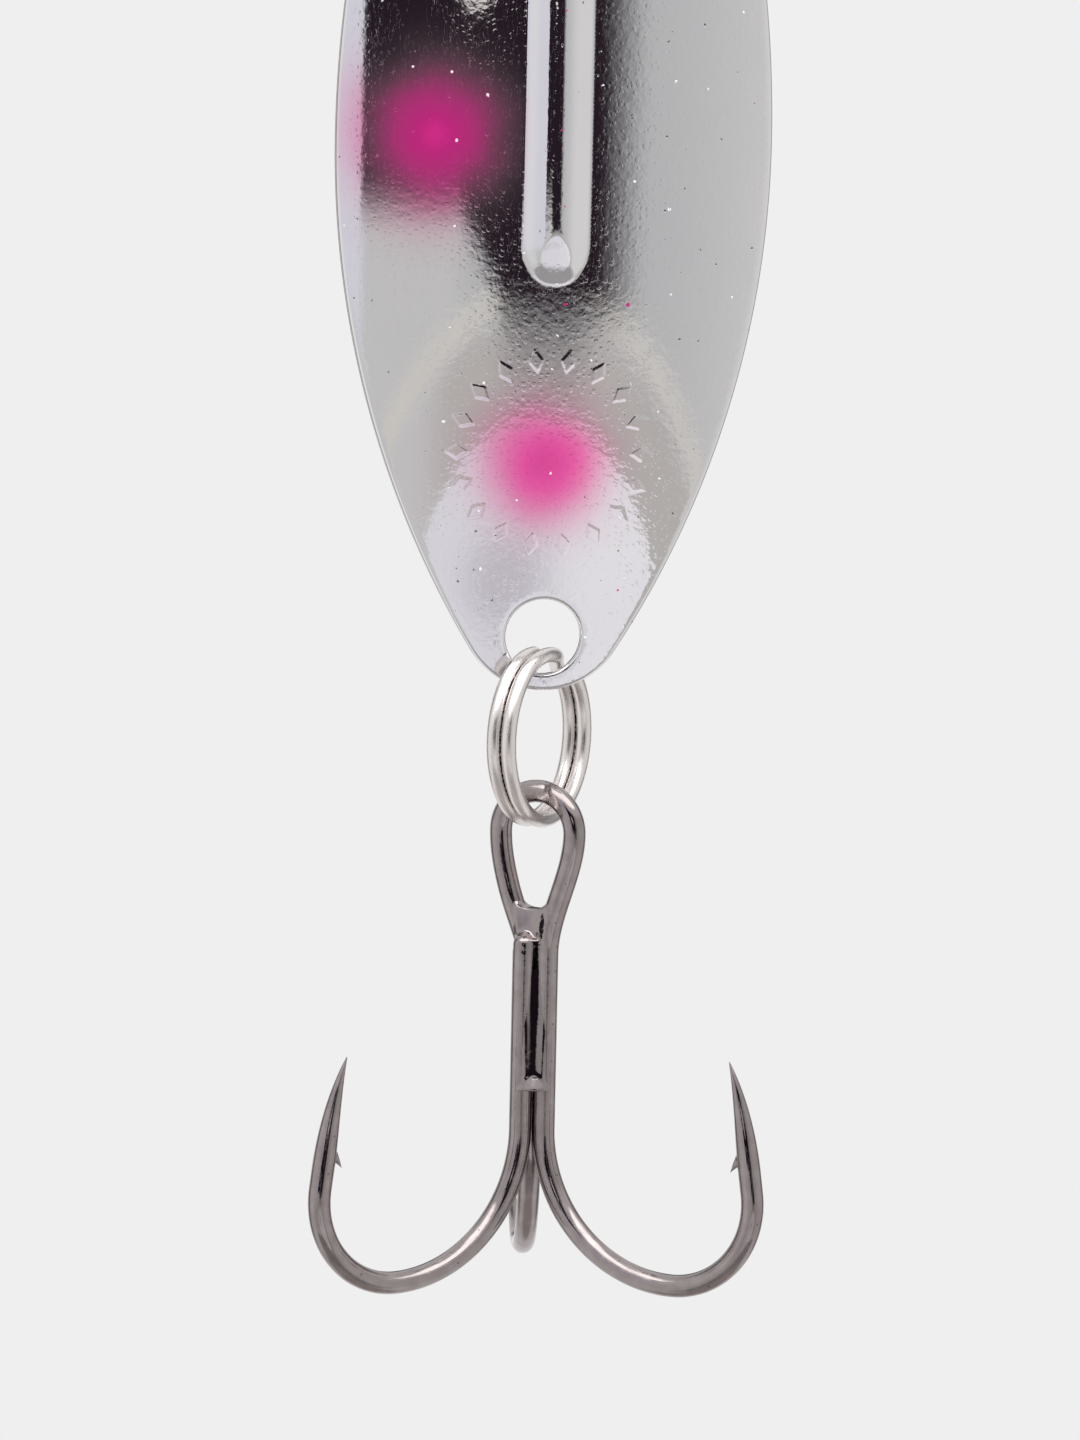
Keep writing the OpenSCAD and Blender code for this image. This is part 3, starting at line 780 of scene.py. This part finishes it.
def near_rib(points):
    beside, beyond = np.abs(points[:, 0]), np.abs(points[:, 1] - BOW_MID_Z)
    return (beside < RIB_WIDTH / 2 + RIB_MARGIN) & (beyond < RIB_LENGTH / 2 + RIB_END_MARGIN)


def near_studs(points):
    radius = np.hypot(points[:, 0] - STUD_MIDDLE[0], points[:, 1] - STUD_MIDDLE[1])
    return np.abs(radius - STUD_RADIUS) < STUD_LENGTH / 2 + STUD_MARGIN


print("holes inside the outline:", all(inside(h, blade_edge).all() for h in hole_edges))

# %% Blade mesh
ROUND, ROUND_STEPS = 0.2, 5
BACK_RIB_NARROWER, BACK_RIB_LOWER, BACK_STUD_SHARE = 0.9, 0.1, 0.5
FRONT_PITCHES = 0.24, [(near_rib, 0.13), (near_studs, 0.065)]
BACK_PITCHES = 0.34, [(near_rib, 0.18)]


def blade_mesh():
    """Points and faces of the blade: two sheets, and rounded walls between their rims."""
    vertices, faces, rims, total = [], [], {}, 0
    holes = [inset(h, -ROUND) for h in hole_edges]
    for side, pitches in (("front", FRONT_PITCHES), ("back", BACK_PITCHES)):
        flat, corners, loops = sheet(inset(blade_edge, ROUND), holes, *pitches)
        x, z = flat.T
        if side == "front":
            depth = -np.maximum(rib_height(x, z, RIB_WIDTH, RIB_PEAK), stud_height(x, z))
        else:
            depth = BLADE_THICKNESS - rib_height(x, z, RIB_WIDTH - BACK_RIB_NARROWER,
                                                 RIB_PEAK - BACK_RIB_LOWER)
            depth -= BACK_STUD_SHARE * stud_height(x, z)
        points = on_blade(x, z, depth)
        first, second, third = (points[corners[:, k]] for k in range(3))
        towards = np.cross(second - first, third - first)[:, 1]
        wrong = (towards > 0) if side == "front" else (towards < 0)
        corners[wrong] = corners[wrong][:, ::-1]
        vertices.append(points)
        faces += (corners + total).tolist()
        rims[side] = [loop + total for loop in loops]
        total += len(points)
    angles = np.linspace(0, math.pi / 2, ROUND_STEPS)
    profile = [(angle, ROUND * (1 - math.cos(angle))) for angle in angles[1:]]
    profile += [(angle, BLADE_THICKNESS - depth) for angle, depth in profile[::-1]]
    for number, loop in enumerate([blade_edge, *hole_edges]):
        sign = 1 if number == 0 else -1
        rings = [rims["front"][number]]
        for angle, depth in profile:
            moved = inset(loop, sign * ROUND * (1 - math.sin(angle)))
            vertices.append(on_blade(moved[:, 0], moved[:, 1], depth))
            rings.append(np.arange(total, total + len(loop)))
            total += len(loop)
        rings.append(rims["back"][number])
        for upper, lower in zip(rings[:-1], rings[1:]):
            quads = np.column_stack([upper, lower, np.roll(lower, -1), np.roll(upper, -1)])
            faces += (quads[:, ::-1] if number else quads).tolist()
    return np.vstack(vertices), faces


blade_points, blade_faces = blade_mesh()
print("blade:", len(blade_points), "points")

# %% Blade piece
def shade_smooth(mesh):
    mesh.polygons.foreach_set("use_smooth", [True] * len(mesh.polygons))


def new_piece(name, points, faces, material):
    """A smooth-shaded piece at the origin, from points in millimetres."""
    mesh = bpy.data.meshes.new(name)
    mesh.from_pydata((np.asarray(points) * MM).tolist(), [], faces)
    mesh.materials.append(material)
    shade_smooth(mesh)
    mesh.update()
    return new_object(name, mesh)


def check_closed(piece):
    """Prints a piece's size and how many edges are open, and turns its faces outwards."""
    work = bmesh.new()
    work.from_mesh(piece.data)
    open_edges = sum(not e.is_manifold for e in work.edges)
    volume = work.calc_volume(signed=True)
    if volume < 0:
        bmesh.ops.reverse_faces(work, faces=work.faces)
        work.to_mesh(piece.data)
    triangles = sum(len(f.verts) - 2 for f in work.faces)
    work.free()
    print(f"{piece.name}: {triangles} triangles, {open_edges} open edges,",
          f"{volume / MM ** 3:.1f} mm3")


blade = new_piece("spoon_blade", blade_points, blade_faces, blade_finish)
check_closed(blade)

# %% [markdown]
# ## Wires by Geometry Nodes
# Rings and hooks are wires: one round section that follows a path. A curve's own bevel could do it,
# but nodes can also store where on the wire each point lies, for the drawn lines of the finish. One
# tree sweeps any path, with the wire's thickness given by the path's own radius, so that a hook's
# point can taper. A second tree writes the path of a split ring from its sizes: two turns, and a
# short stretch where the wire crosses from one to the other.

# %% Wire tree
WIRE_SIDES = 32


def geometry_tree(name, **inputs):
    """A geometry group that gives one wire."""
    return new_group("GeometryNodeTree", name, "Wire", "NodeSocketGeometry", inputs)


def stored(tree, shape, name, value):
    """Adds a node that stores a value on each point of a curve."""
    inputs = {"Geometry": shape, "Name": name, "Value": value}
    return tree.node("GeometryNodeStoreNamedAttribute", inputs, data_type="FLOAT",
                     domain="POINT").outputs[0]


def sweep(tree, path, scale, sides, material):
    """Adds the nodes that sweep a round section of radius 1 along a path."""
    section = tree.node("GeometryNodeCurvePrimitiveCircle", {"Resolution": sides, "Radius": 1.0})
    spline = tree.node("GeometryNodeSplineParameter").outputs
    around = stored(tree, section.outputs[0], "around", spline["Factor"])
    along = stored(tree, path, "along", tree.times(spline["Length"], 1 / MM))
    shape = tree.node("GeometryNodeCurveToMesh", {"Curve": along, "Profile Curve": around,
                                                  "Scale": scale, "Fill Caps": True})
    shape = tree.node("GeometryNodeSetShadeSmooth", {"Geometry": shape.outputs[0]})
    shape = tree.node("GeometryNodeRealizeInstances", {"Geometry": shape.outputs[0]})
    inputs = {"Geometry": shape.outputs[0], "Material": material}
    return tree.node("GeometryNodeSetMaterial", inputs).outputs[0]


t, ins, out = geometry_tree("swept_wire", Path=None, Sides=WIRE_SIDES)
thickness = t.node("GeometryNodeInputRadius").outputs[0]
t.feed(out, sweep(t, ins["Path"], thickness, ins["Sides"], hook_finish))
print("wire tree nodes:", len(t.tree.nodes))

# %% Split ring tree
ROUNDED_FROM, ROUNDED_TO = -1.5, 3.0
RING_VALUES = {"Middle Radius": (RING_INNER + RING_WIRE) / 2 * MM, "Wire Radius": RING_WIRE / 2 * MM,
               "Pitch": (RING_WIRE + RING_TURN_GAP) * MM, "Crossover": RING_CROSSOVER,
               "End Gap": CROSSING_END_GAP, "Steps": 560, "Sides": WIRE_SIDES}

t, ins, out = geometry_tree("split_ring", **RING_VALUES)
line = t.node("GeometryNodeCurvePrimitiveLine").outputs[0]
line = t.node("GeometryNodeResampleCurve", {"Curve": line, "Count": ins["Steps"]}).outputs[0]
share = t.math("DIVIDE", t.node("GeometryNodeInputIndex").outputs[0],
               t.math("SUBTRACT", ins["Steps"], 1.0))
turn_end = t.math("SUBTRACT", 360.0, t.times(ins["Crossover"], 0.5))
turn_end = t.math("SUBTRACT", turn_end, ins["End Gap"])
turn = t.times(t.math("MULTIPLY_ADD", share, 2.0, -1.0), turn_end)
across = t.smooth(t.math("DIVIDE", turn, ins["Crossover"]), -0.5, 0.5, -0.5, 0.5)
angle = t.math("RADIANS", turn)
spot = t.place(t.times(ins["Middle Radius"], t.math("COSINE", angle)),
               t.times(ins["Middle Radius"], t.math("SINE", angle)),
               t.times(ins["Pitch"], across))
coil = t.node("GeometryNodeSetPosition", {"Geometry": line, "Position": spot}).outputs[0]
# Both ends of the wire are rounded off over the last few degrees
to_end = t.math("SUBTRACT", turn_end, t.math("ABSOLUTE", turn))
cut = t.math("SUBTRACT", 1.0, t.smooth(to_end, ROUNDED_FROM, ROUNDED_TO))
rounding = t.math("SQRT", t.math("SUBTRACT", 1.0, t.math("POWER", cut, 2.0)))
t.feed(out, sweep(t, coil, t.times(ins["Wire Radius"], rounding), ins["Sides"], ring_finish))
print("split ring tree nodes:", len(t.tree.nodes))

# %% [markdown]
# ## The split rings
# A split ring is two turns of spring wire, and the seam between them is given painted shade. A tree
# runs as a modifier on a short-lived object, and its result is kept as a plain mesh, because the frame
# needs finished pieces. The ring is grown flat, given painted shade near its middle plane and then
# stood up.

# %% Split rings
# The seam between the turns carries painted shade: how deep it reaches, how far from the crossing it
# starts, and how strong it is
SEAM_DEPTH, SEAM_START, SEAM_SHADE = 0.085, 6.0, 0.60


def evaluated_mesh(source):
    """An object's mesh after its modifiers."""
    depsgraph = bpy.context.evaluated_depsgraph_get()
    return bpy.data.meshes.new_from_object(source.evaluated_get(depsgraph), depsgraph=depsgraph)


def grown(name, data, tree_name, values):
    """Runs a tree on an object and keeps its result as a plain mesh piece."""
    source = new_object(name + "_path", data)
    modifier = source.modifiers.new("grow", "NODES")
    modifier.node_group = bpy.data.node_groups[tree_name]
    for socket in modifier.node_group.interface.items_tree:
        if socket.in_out == "INPUT" and socket.name in values:
            modifier[socket.identifier] = values[socket.name]
    mesh = evaluated_mesh(source)
    mesh.name = name
    bpy.data.objects.remove(source)
    return new_object(name, mesh)


def store_values(piece, name, values):
    """Gives each point of a piece a value that its finish can read."""
    piece.data.attributes.new(name, "FLOAT", "POINT").data.foreach_set("value", values)


def turned(degrees, axis):
    return Matrix.Rotation(math.radians(degrees), 4, axis)


def split_ring(name, mid_z, azimuth):
    """A ring stood up at a height, with painted shade in its seam, away from the crossing."""
    ring = grown(name, bpy.data.meshes.new(name + "_seed"), "split_ring", RING_VALUES)
    x, y, z = (np.array([v.co for v in ring.data.vertices]) / MM).T
    from_seam = np.abs(z) - RING_TURN_GAP / 2
    from_crossing = np.abs(np.degrees(np.arctan2(y, x))) - RING_CROSSOVER / 2
    in_seam = 1 - ease(from_seam / SEAM_DEPTH)
    # Painted shade along the seam between the two turns, fading towards the crossing
    store_values(ring, "soot", SEAM_SHADE * in_seam * ease(from_crossing / SEAM_START))
    ring.data.transform(Matrix.Translation((0, 0, mid_z * MM)) @ turned(azimuth, "Z")
                        @ turned(90, "X") @ turned(CROSSOVER_PLACE, "Z"))
    check_closed(ring)
    return ring


nose_ring = split_ring("nose_ring", NOSE_RING_Z, 90)
tail_ring = split_ring("tail_ring", TAIL_RING_Z, 90 - TAIL_RING_TURN)

# %% [markdown]
# ## The treble hook
# A treble is made of two wires. The first is bent into an eye with a hook at each end, the second is
# a single hook brazed between the legs. Curve handles could draw them, but arcs and lines with real
# radii are what a bending machine uses. Each path is a row of points with its own wire radius: shank,
# round bend, arm, and a point that tapers like a claw and leans further in towards its tip.

# %% Hook paths
RIGHT_AZIMUTH = -TAIL_RING_TURN
REAR_AZIMUTH, LEFT_AZIMUTH = RIGHT_AZIMUTH + 120, RIGHT_AZIMUTH + 240
SHANK_OFFSET = (HOOK_WIRE + SHANK_GAP) / math.sqrt(3)
BEND_START_Z = BEND_Z + SHANK_BEND_RADIUS
BEND_U = SHANK_OFFSET + SHANK_BEND_RADIUS
RIGHT_LEG_FALL, REAR_LEG_FALL, REAR_LEG_TURN = 6.5, 8.4, 3.0
SHANK_TOP_Z = EYE_Z - REAR_LEG_FALL
EYE_BEND_RADIUS = EYE_INNER_RADIUS + HOOK_WIRE / 2
STEP, SHANK_POINTS = 0.12, 80
ARM_LEAN, TIP_LEAN, LEAN_POWER = 8.0, 21.0, 2.2
TAPER_START, TAPER_POWER, TIP_RADIUS = 0.16, 1.75, 0.025


def arc(middle, radius, start, end):
    """Points of an arc between two angles in degrees, one to a step."""
    count = max(3, int(abs(math.radians(end - start)) * radius / STEP))
    turn = np.radians(np.linspace(start, end, count))
    return np.column_stack([middle[0] + radius * np.cos(turn), middle[1] + radius * np.sin(turn)])


def hook_path(top_z):
    """Points (u, z) and wire radii from the top of a shank to the hook's tip."""
    shank = np.column_stack([np.full(SHANK_POINTS, SHANK_OFFSET),
                             np.linspace(top_z, BEND_START_Z, SHANK_POINTS)])
    low = arc((BEND_U, BEND_START_Z), SHANK_BEND_RADIUS, 180, 270)
    point_mid = (BEND_U, BEND_Z + POINT_BEND_RADIUS)
    rise = arc(point_mid, POINT_BEND_RADIUS, 270, 360 + ARM_LEAN)
    rise_run = math.radians(POINT_LEAN - ARM_LEAN) * POINT_BEND_RADIUS
    run = np.arange(STEP, POINT_TAPER + rise_run, STEP)
    share = run / run[-1]
    lean = np.radians(ARM_LEAN + (TIP_LEAN - ARM_LEAN) * share ** LEAN_POWER)
    arm = rise[-1] + np.cumsum(np.column_stack([-np.sin(lean), np.cos(lean)]) * STEP, axis=0)
    path = np.vstack([shank, low[1:], rise[1:], arm])
    taper = np.clip((share - TAPER_START) / (1 - TAPER_START), 0, 1)
    radius = np.full(len(path), HOOK_WIRE / 2)
    radius[-len(run):] = HOOK_WIRE / 2 * (1 - taper ** TAPER_POWER) + TIP_RADIUS * taper
    return path, radius


def round_axis(u, w, z, azimuth):
    """Points at u along a level direction and w to its left, at the height z."""
    turn = math.radians(azimuth)
    return np.column_stack([u * math.cos(turn) - w * math.sin(turn),
                            u * math.sin(turn) + w * math.cos(turn), z])


def stand(path, azimuth):
    """Stands a flat path up at an azimuth."""
    return round_axis(path[:, 0], 0, path[:, 1], azimuth)


arm_path, arm_radius = hook_path(SHANK_TOP_Z)
print("hook path of", len(arm_path), "points")

# %% Eye and shanks
CUT_END = np.array([0.72, 0.88, 0.97])


def eye_leg(fall, azimuth, reach):
    """A leg that eases in from the eye's side to its shank, by the fall below the eye's middle."""
    swing = math.radians(azimuth - RIGHT_AZIMUTH)
    start_u = EYE_BEND_RADIUS if swing == 0 else -EYE_BEND_RADIUS
    foot_u, foot_w = SHANK_OFFSET * math.cos(swing), SHANK_OFFSET * math.sin(swing)
    u = start_u + (foot_u - start_u) * ease(fall / reach)
    w = foot_w * ease((fall - REAR_LEG_TURN) / (reach - REAR_LEG_TURN))
    return round_axis(u, w, EYE_Z - fall, RIGHT_AZIMUTH)


right_arm, rear_arm = stand(arm_path, RIGHT_AZIMUTH), stand(arm_path, REAR_AZIMUTH)
fall = np.arange(STEP, REAR_LEG_FALL - STEP / 2, STEP)
right_leg = eye_leg(fall, RIGHT_AZIMUTH, RIGHT_LEG_FALL)
rear_leg = eye_leg(fall, REAR_AZIMUTH, REAR_LEG_FALL)
eye = stand(arc((0, EYE_Z), EYE_BEND_RADIUS, 0, 180), RIGHT_AZIMUTH)
eye_path = np.vstack([right_arm[::-1], right_leg[::-1], eye, rear_leg, rear_arm])
eye_radius = np.full(len(eye_path), HOOK_WIRE / 2)
eye_radius[:len(arm_radius)], eye_radius[-len(arm_radius):] = arm_radius[::-1], arm_radius
single_path, single_radius = hook_path(EYE_TOP_Z - SINGLE_HOOK_DROP)
single_path = stand(single_path, LEFT_AZIMUTH)
single_radius[:len(CUT_END)] = HOOK_WIRE / 2 * CUT_END
wire_length = np.linalg.norm(np.diff(eye_path, axis=0), axis=1).sum()
print("double hook wire", round(wire_length, 1), "mm long")

# %% [markdown]
# A barb is a sliver that a blade lifts off the inner side of the point, so it stays joined at its
# root. It could be a bump in the sweep, but a sweep cannot fold back on itself. So the sliver is a
# small loft of four ovals, welded to the wire as one closed skin.

# %% Hook wires
BARB_FROM_TIP, BARB_SIDES, BESIDE_ROOT = 5.6, 12, 3
# Each oval's lift off the wire, its slide towards the tip, its half width and its half length
BARB_OVALS = ((-0.30, 0.50, 0.24, 0.46), (0.02, 0.26, 0.20, 0.34), (0.27, -0.02, 0.13, 0.18),
              (0.52, -0.34, 0.012, 0.012))


def hook_wire(name, points, radii):
    """A hook's wire, swept along its path."""
    data = bpy.data.curves.new(name, "CURVE")
    data.dimensions = "3D"
    spline = data.splines.new("POLY")
    spline.points.add(len(points) - 1)
    spline.points.foreach_set("co", np.column_stack([points * MM, np.ones(len(points))]).ravel())
    spline.points.foreach_set("radius", np.asarray(radii) * MM)
    return grown(name, data, "swept_wire", {"Sides": WIRE_SIDES})


def barb(azimuth):
    """A thin sliver lifted off the inner side of an arm, pointing back towards the bend."""
    root = len(arm_path) - 1 - int(BARB_FROM_TIP / STEP)
    way = arm_path[root + BESIDE_ROOT] - arm_path[root - BESIDE_ROOT]
    way /= np.linalg.norm(way)
    inward = np.array([-way[1], way[0]])
    if inward[0] > 0:
        inward = -inward
    turn = 2 * math.pi * np.arange(BARB_SIDES) / BARB_SIDES
    points, faces = [], []
    for row, (lift, slide, half_width, half_length) in enumerate(BARB_OVALS):
        middle = arm_path[root] + inward * (HOOK_WIRE / 2 + lift) + way * slide
        u, z = (middle + np.outer(half_length * np.cos(turn), way)).T
        points.append(round_axis(u, half_width * np.sin(turn), z, azimuth))
        if row:
            here = np.arange(BARB_SIDES) + (row - 1) * BARB_SIDES
            after = np.roll(here, -1)
            quads = [here, after, after + BARB_SIDES, here + BARB_SIDES]
            faces += np.column_stack(quads).tolist()
    last = (len(BARB_OVALS) - 1) * BARB_SIDES
    faces += [list(range(BARB_SIDES))[::-1], list(range(last, last + BARB_SIDES))]
    sliver = new_piece("barb_sliver", np.vstack(points), faces, hook_finish)
    check_closed(sliver)
    return sliver


def weld(piece, others):
    """Welds other closed pieces to a piece, as one skin."""
    for other in others:
        union = piece.modifiers.new("weld", "BOOLEAN")
        union.operation = "UNION"
        union.solver = "EXACT"
        union.object = other
    mesh = evaluated_mesh(piece)
    piece.modifiers.clear()
    piece.data = mesh
    shade_smooth(mesh)
    for other in others:
        bpy.data.objects.remove(other)
    check_closed(piece)


double_hook = hook_wire("double_hook_wire", eye_path, eye_radius)
single_hook = hook_wire("single_hook_wire", single_path, single_radius)
weld(double_hook, [barb(RIGHT_AZIMUTH), barb(REAR_AZIMUTH)])
weld(single_hook, [barb(LEFT_AZIMUTH)])

# %% [markdown]
# ## The braze
# Braze metal runs into the grooves between the shanks, fills the crotch below the eye and sets in a
# small lip at its lower end. Metaballs could flow together like that, but their shape is hard to
# steer. Here the shape follows from the wires: it is the smooth union of their distances with a few
# plates. A field of distances is worked out on a grid, and its zero surface is meshed with a surface
# net, which puts one point into each cell that the surface crosses.

# %% Distances and surface nets
def wire_distance(grid, points, radius):
    """Distance from each grid point to a wire along a path."""
    best = np.full(len(grid), 1e9)
    for start, end in zip(points[:-1], points[1:]):
        way = end - start
        share = np.clip((grid - start) @ way / (way @ way), 0, 1)
        best = np.minimum(best, np.linalg.norm(grid - start - share[:, None] * way, axis=1))
    return best - radius


def surface_net(field, origin, step):
    """The zero surface of a grid of distances, as points and quads."""
    size = np.array(field.shape) - 1
    total, count = np.zeros((*size, 3)), np.zeros(size)
    for axis, a, b in np.ndindex(3, 2, 2):
        low = np.zeros(3, int)
        low[(axis + 1) % 3], low[(axis + 2) % 3] = a, b
        high = low.copy()
        high[axis] = 1
        here, there = (field[tuple(slice(o, o + n) for o, n in zip(corner, size))]
                       for corner in (low, high))
        cross = (here < 0) != (there < 0)
        share = np.where(cross, here / np.where(cross, here - there, 1), 0)
        for k in range(3):
            total[..., k] += cross * (share if k == axis else low[k])
        count += cross
    active = count > 0
    number = np.full(size, -1)
    number[active] = np.arange(active.sum())
    points = origin + (np.argwhere(active) + total[active] / count[active][:, None]) * step
    faces = []
    for axis in range(3):
        back_u, back_v = (np.eye(3, dtype=int)[(axis + k) % 3] for k in (1, 2))
        here = [slice(1, -1)] * 3
        here[axis] = slice(0, -1)
        there = list(here)
        there[axis] = slice(1, None)
        first, second = field[tuple(here)] < 0, field[tuple(there)] < 0
        for flip, change in ((False, first & ~second), (True, ~first & second)):
            spots = np.argwhere(change) + back_u + back_v
            quad = np.column_stack([number[tuple((spots - move).T)]
                                    for move in (0 * back_u, back_u, back_u + back_v, back_v)])
            faces += (quad[:, ::-1] if flip else quad).tolist()
    return points, faces


eye_room = wire_distance(np.array([[0, 0, EYE_Z]]), eye, HOOK_WIRE / 2)
print("inner radius of the eye by its distance:", eye_room.round(2), "mm")

# %% Braze grid
BRAZE_TOP_Z = EYE_TOP_Z - BRAZE_DROP
BRAZE_LOW_Z = BRAZE_TOP_Z - BRAZE_LENGTH
GRID, GRID_HALF, GRID_BELOW, GRID_ABOVE = 0.0665, 1.9, 0.9, 1.4
PATH_BELOW, PATH_ABOVE, PATH_STRIDE = 1, 3, 3
low_corner = np.array([-GRID_HALF, -GRID_HALF, BRAZE_LOW_Z - GRID_BELOW])
high_corner = np.array([GRID_HALF, GRID_HALF, BRAZE_TOP_Z + GRID_ABOVE])
counts = np.ceil((high_corner - low_corner) / GRID).astype(int) + 1
axes_mm = [low_corner[k] + GRID * np.arange(counts[k]) for k in range(3)]
grid = np.stack(np.meshgrid(*axes_mm, indexing="ij"), -1).reshape(-1, 3)
height = grid[:, 2]


def leg_distance(path):
    """Distance from each grid point to the stretch of a wire that passes the braze."""
    near = ((path[:, 2] > low_corner[2] - PATH_BELOW)
            & (path[:, 2] < BRAZE_TOP_Z + PATH_ABOVE))
    return wire_distance(grid, path[near][::PATH_STRIDE], HOOK_WIRE / 2)


def along_azimuth(degrees):
    """How far each grid point lies along a level direction."""
    turn = math.radians(degrees)
    return grid[:, 0] * math.cos(turn) + grid[:, 1] * math.sin(turn)


eye_top = len(eye_path) // 2
right_leg, rear_leg = leg_distance(eye_path[:eye_top]), leg_distance(eye_path[eye_top:])
left_leg = leg_distance(single_path)
print("braze grid", counts, "points")

# %% [markdown]
# The braze is built up as the metal ran: fillets between the wires, a web in the crotch of the eye, a
# nearly flush floor in the front groove, and the lip where it stopped. Elsewhere it lies a hair below
# the wires, so that they show. Painted shade darkens the crevice that runs from the groove into the
# web.

# %% Braze field
LEG_FILLET, SINGLE_FILLET, WEB_FILLET, LIP_FILLET = 0.30, 0.20, 0.55, 0.08
WEB_TOP_Z, WEB_HALF, WEB_SPAN, WEB_LENGTH = BRAZE_TOP_Z + 0.15, 0.50, 0.8, 3.2
WEB_TAPER, WEB_TAPER_START, WEB_TAPER_RUN, WEB_SHIFT, WEB_SHIFT_RUN = 0.9, 0.8, 2.4, 0.25, 5
GROOVE_AZIMUTH, GROOVE_OUT, GROOVE_LEAN = RIGHT_AZIMUTH - 60, 0.88, 0.03
GROOVE_HALF, GROOVE_START, GROOVE_ABOVE_LIP = 0.50, 1.6, 0.2
# The fillets along the groove grow downwards in two steps: size, start below the web, and run
GROOVE_FILLET, FILLET_STEPS = 0.03, ((0.10, 2.5, 4), (0.13, 5.0, 3))
LIP_TOP_Z, LIP_LOW_Z = BRAZE_LOW_Z + 0.30, BRAZE_LOW_Z - 0.60
LIP_SLOPE, LIP_HALF, LIP_ROUND = 0.42, 0.95, 0.48
SINK, TOP_SINK, LOW_SINK = 0.02, 0.10, 0.12
TOP_START, TOP_RUN, LOW_START, LOW_RUN, BESIDE_LIP = 0.2, 0.8, 0.3, 0.5, 0.1
BRAZE_ABOVE_WEB = 1.1

field = smooth_union(smooth_union(right_leg, rear_leg, LEG_FILLET), left_leg, SINGLE_FILLET)
below_web = WEB_TOP_Z - height
web_shift = WEB_SHIFT * SHANK_OFFSET * ease((EYE_Z - height - REAR_LEG_TURN) / WEB_SHIFT_RUN)
web_half = WEB_HALF * (1 - WEB_TAPER * ease((below_web - WEB_TAPER_START) / WEB_TAPER_RUN))
web = np.max([np.abs(along_azimuth(RIGHT_AZIMUTH + 90) - web_shift) - web_half, -below_web,
              np.abs(along_azimuth(RIGHT_AZIMUTH)) - WEB_SPAN, below_web - WEB_LENGTH], axis=0)
field = smooth_union(field, web, WEB_FILLET)

outwards, aside = along_azimuth(GROOVE_AZIMUTH), along_azimuth(GROOVE_AZIMUTH + 90)
groove_out = GROOVE_OUT - GROOVE_LEAN * (height - (WEB_TOP_Z + BRAZE_LOW_Z) / 2)
groove_plate = np.max([np.abs(aside) - GROOVE_HALF, outwards - groove_out, -outwards,
                       GROOVE_START - below_web, LIP_LOW_Z + GROOVE_ABOVE_LIP - height], axis=0)
groove_fillet = GROOVE_FILLET + sum(size * ease((below_web - start) / run)
                                    for size, start, run in FILLET_STEPS)
field = smooth_union(field, groove_plate, groove_fillet)

rise = LIP_SLOPE * np.maximum(LIP_TOP_Z - height, 0) - LIP_ROUND * (aside / LIP_HALF) ** 2
lip = np.max([outwards - groove_out - rise, np.abs(aside) - LIP_HALF, LIP_LOW_Z - height,
              height - LIP_TOP_Z, -outwards], axis=0)
field = smooth_union(field, lip, LIP_FILLET)

sink = SINK + TOP_SINK * ease((-below_web - TOP_START) / TOP_RUN)
sink += LOW_SINK * ease((LIP_LOW_Z + LOW_START - height) / LOW_RUN) * ease(lip / BESIDE_LIP)
ends = np.maximum(LIP_LOW_Z - height, -below_web - BRAZE_ABOVE_WEB)
field = np.maximum(field + sink, ends).reshape(counts)
print("share of the grid in the braze:", round((field < 0).mean(), 3))

# %% Braze piece
# The crevice's points: out along the groove's azimuth, aside, and down from the web's top
CREVICE = ((0.80, 0.42, 0.30), (0.88, 0.24, 1.0), (0.92, 0.14, 1.6), (0.92, 0.02, 2.4),
           (0.90, -0.06, 3.2))
SHADE_REACH = 0.34

for axis in range(3):
    field = (np.roll(field, 1, axis) + 2 * field + np.roll(field, -1, axis)) / 4
braze_points, braze_faces = surface_net(field, low_corner, GRID)
braze = new_piece("shank_braze", braze_points, braze_faces, braze_finish)

out, side, down = np.array(CREVICE).T
crevice = round_axis(out, side, WEB_TOP_Z - down, GROOVE_AZIMUTH)
turn_share = np.arctan2(braze_points[:, 1], braze_points[:, 0]) / (2 * math.pi)
store_values(braze, "along", braze_points[:, 2])
store_values(braze, "around", turn_share)
# Painted shade along the crevice, fading out over its reach
store_values(braze, "soot", 1 - ease(wire_distance(braze_points, crevice, 0) / SHADE_REACH))
check_closed(braze)

# %% [markdown]
# ## Hand over
# Every piece replaces its node and rides on that node's body.

# %% Ride on the frame
for piece, node, body, slot in ((nose_ring, "nose_split_ring", "nose_ring", "ring_nickel"),
                                (blade, "blade", "spoon", "blade_chrome"),
                                (tail_ring, "tail_split_ring", "tail_ring", "ring_nickel"),
                                (double_hook, "double_hook", "treble", "hook_black_nickel"),
                                (single_hook, "single_hook", "treble", "hook_black_nickel"),
                                (braze, "braze", "treble", "braze_black_nickel")):
    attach(piece, body)
    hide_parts(node)
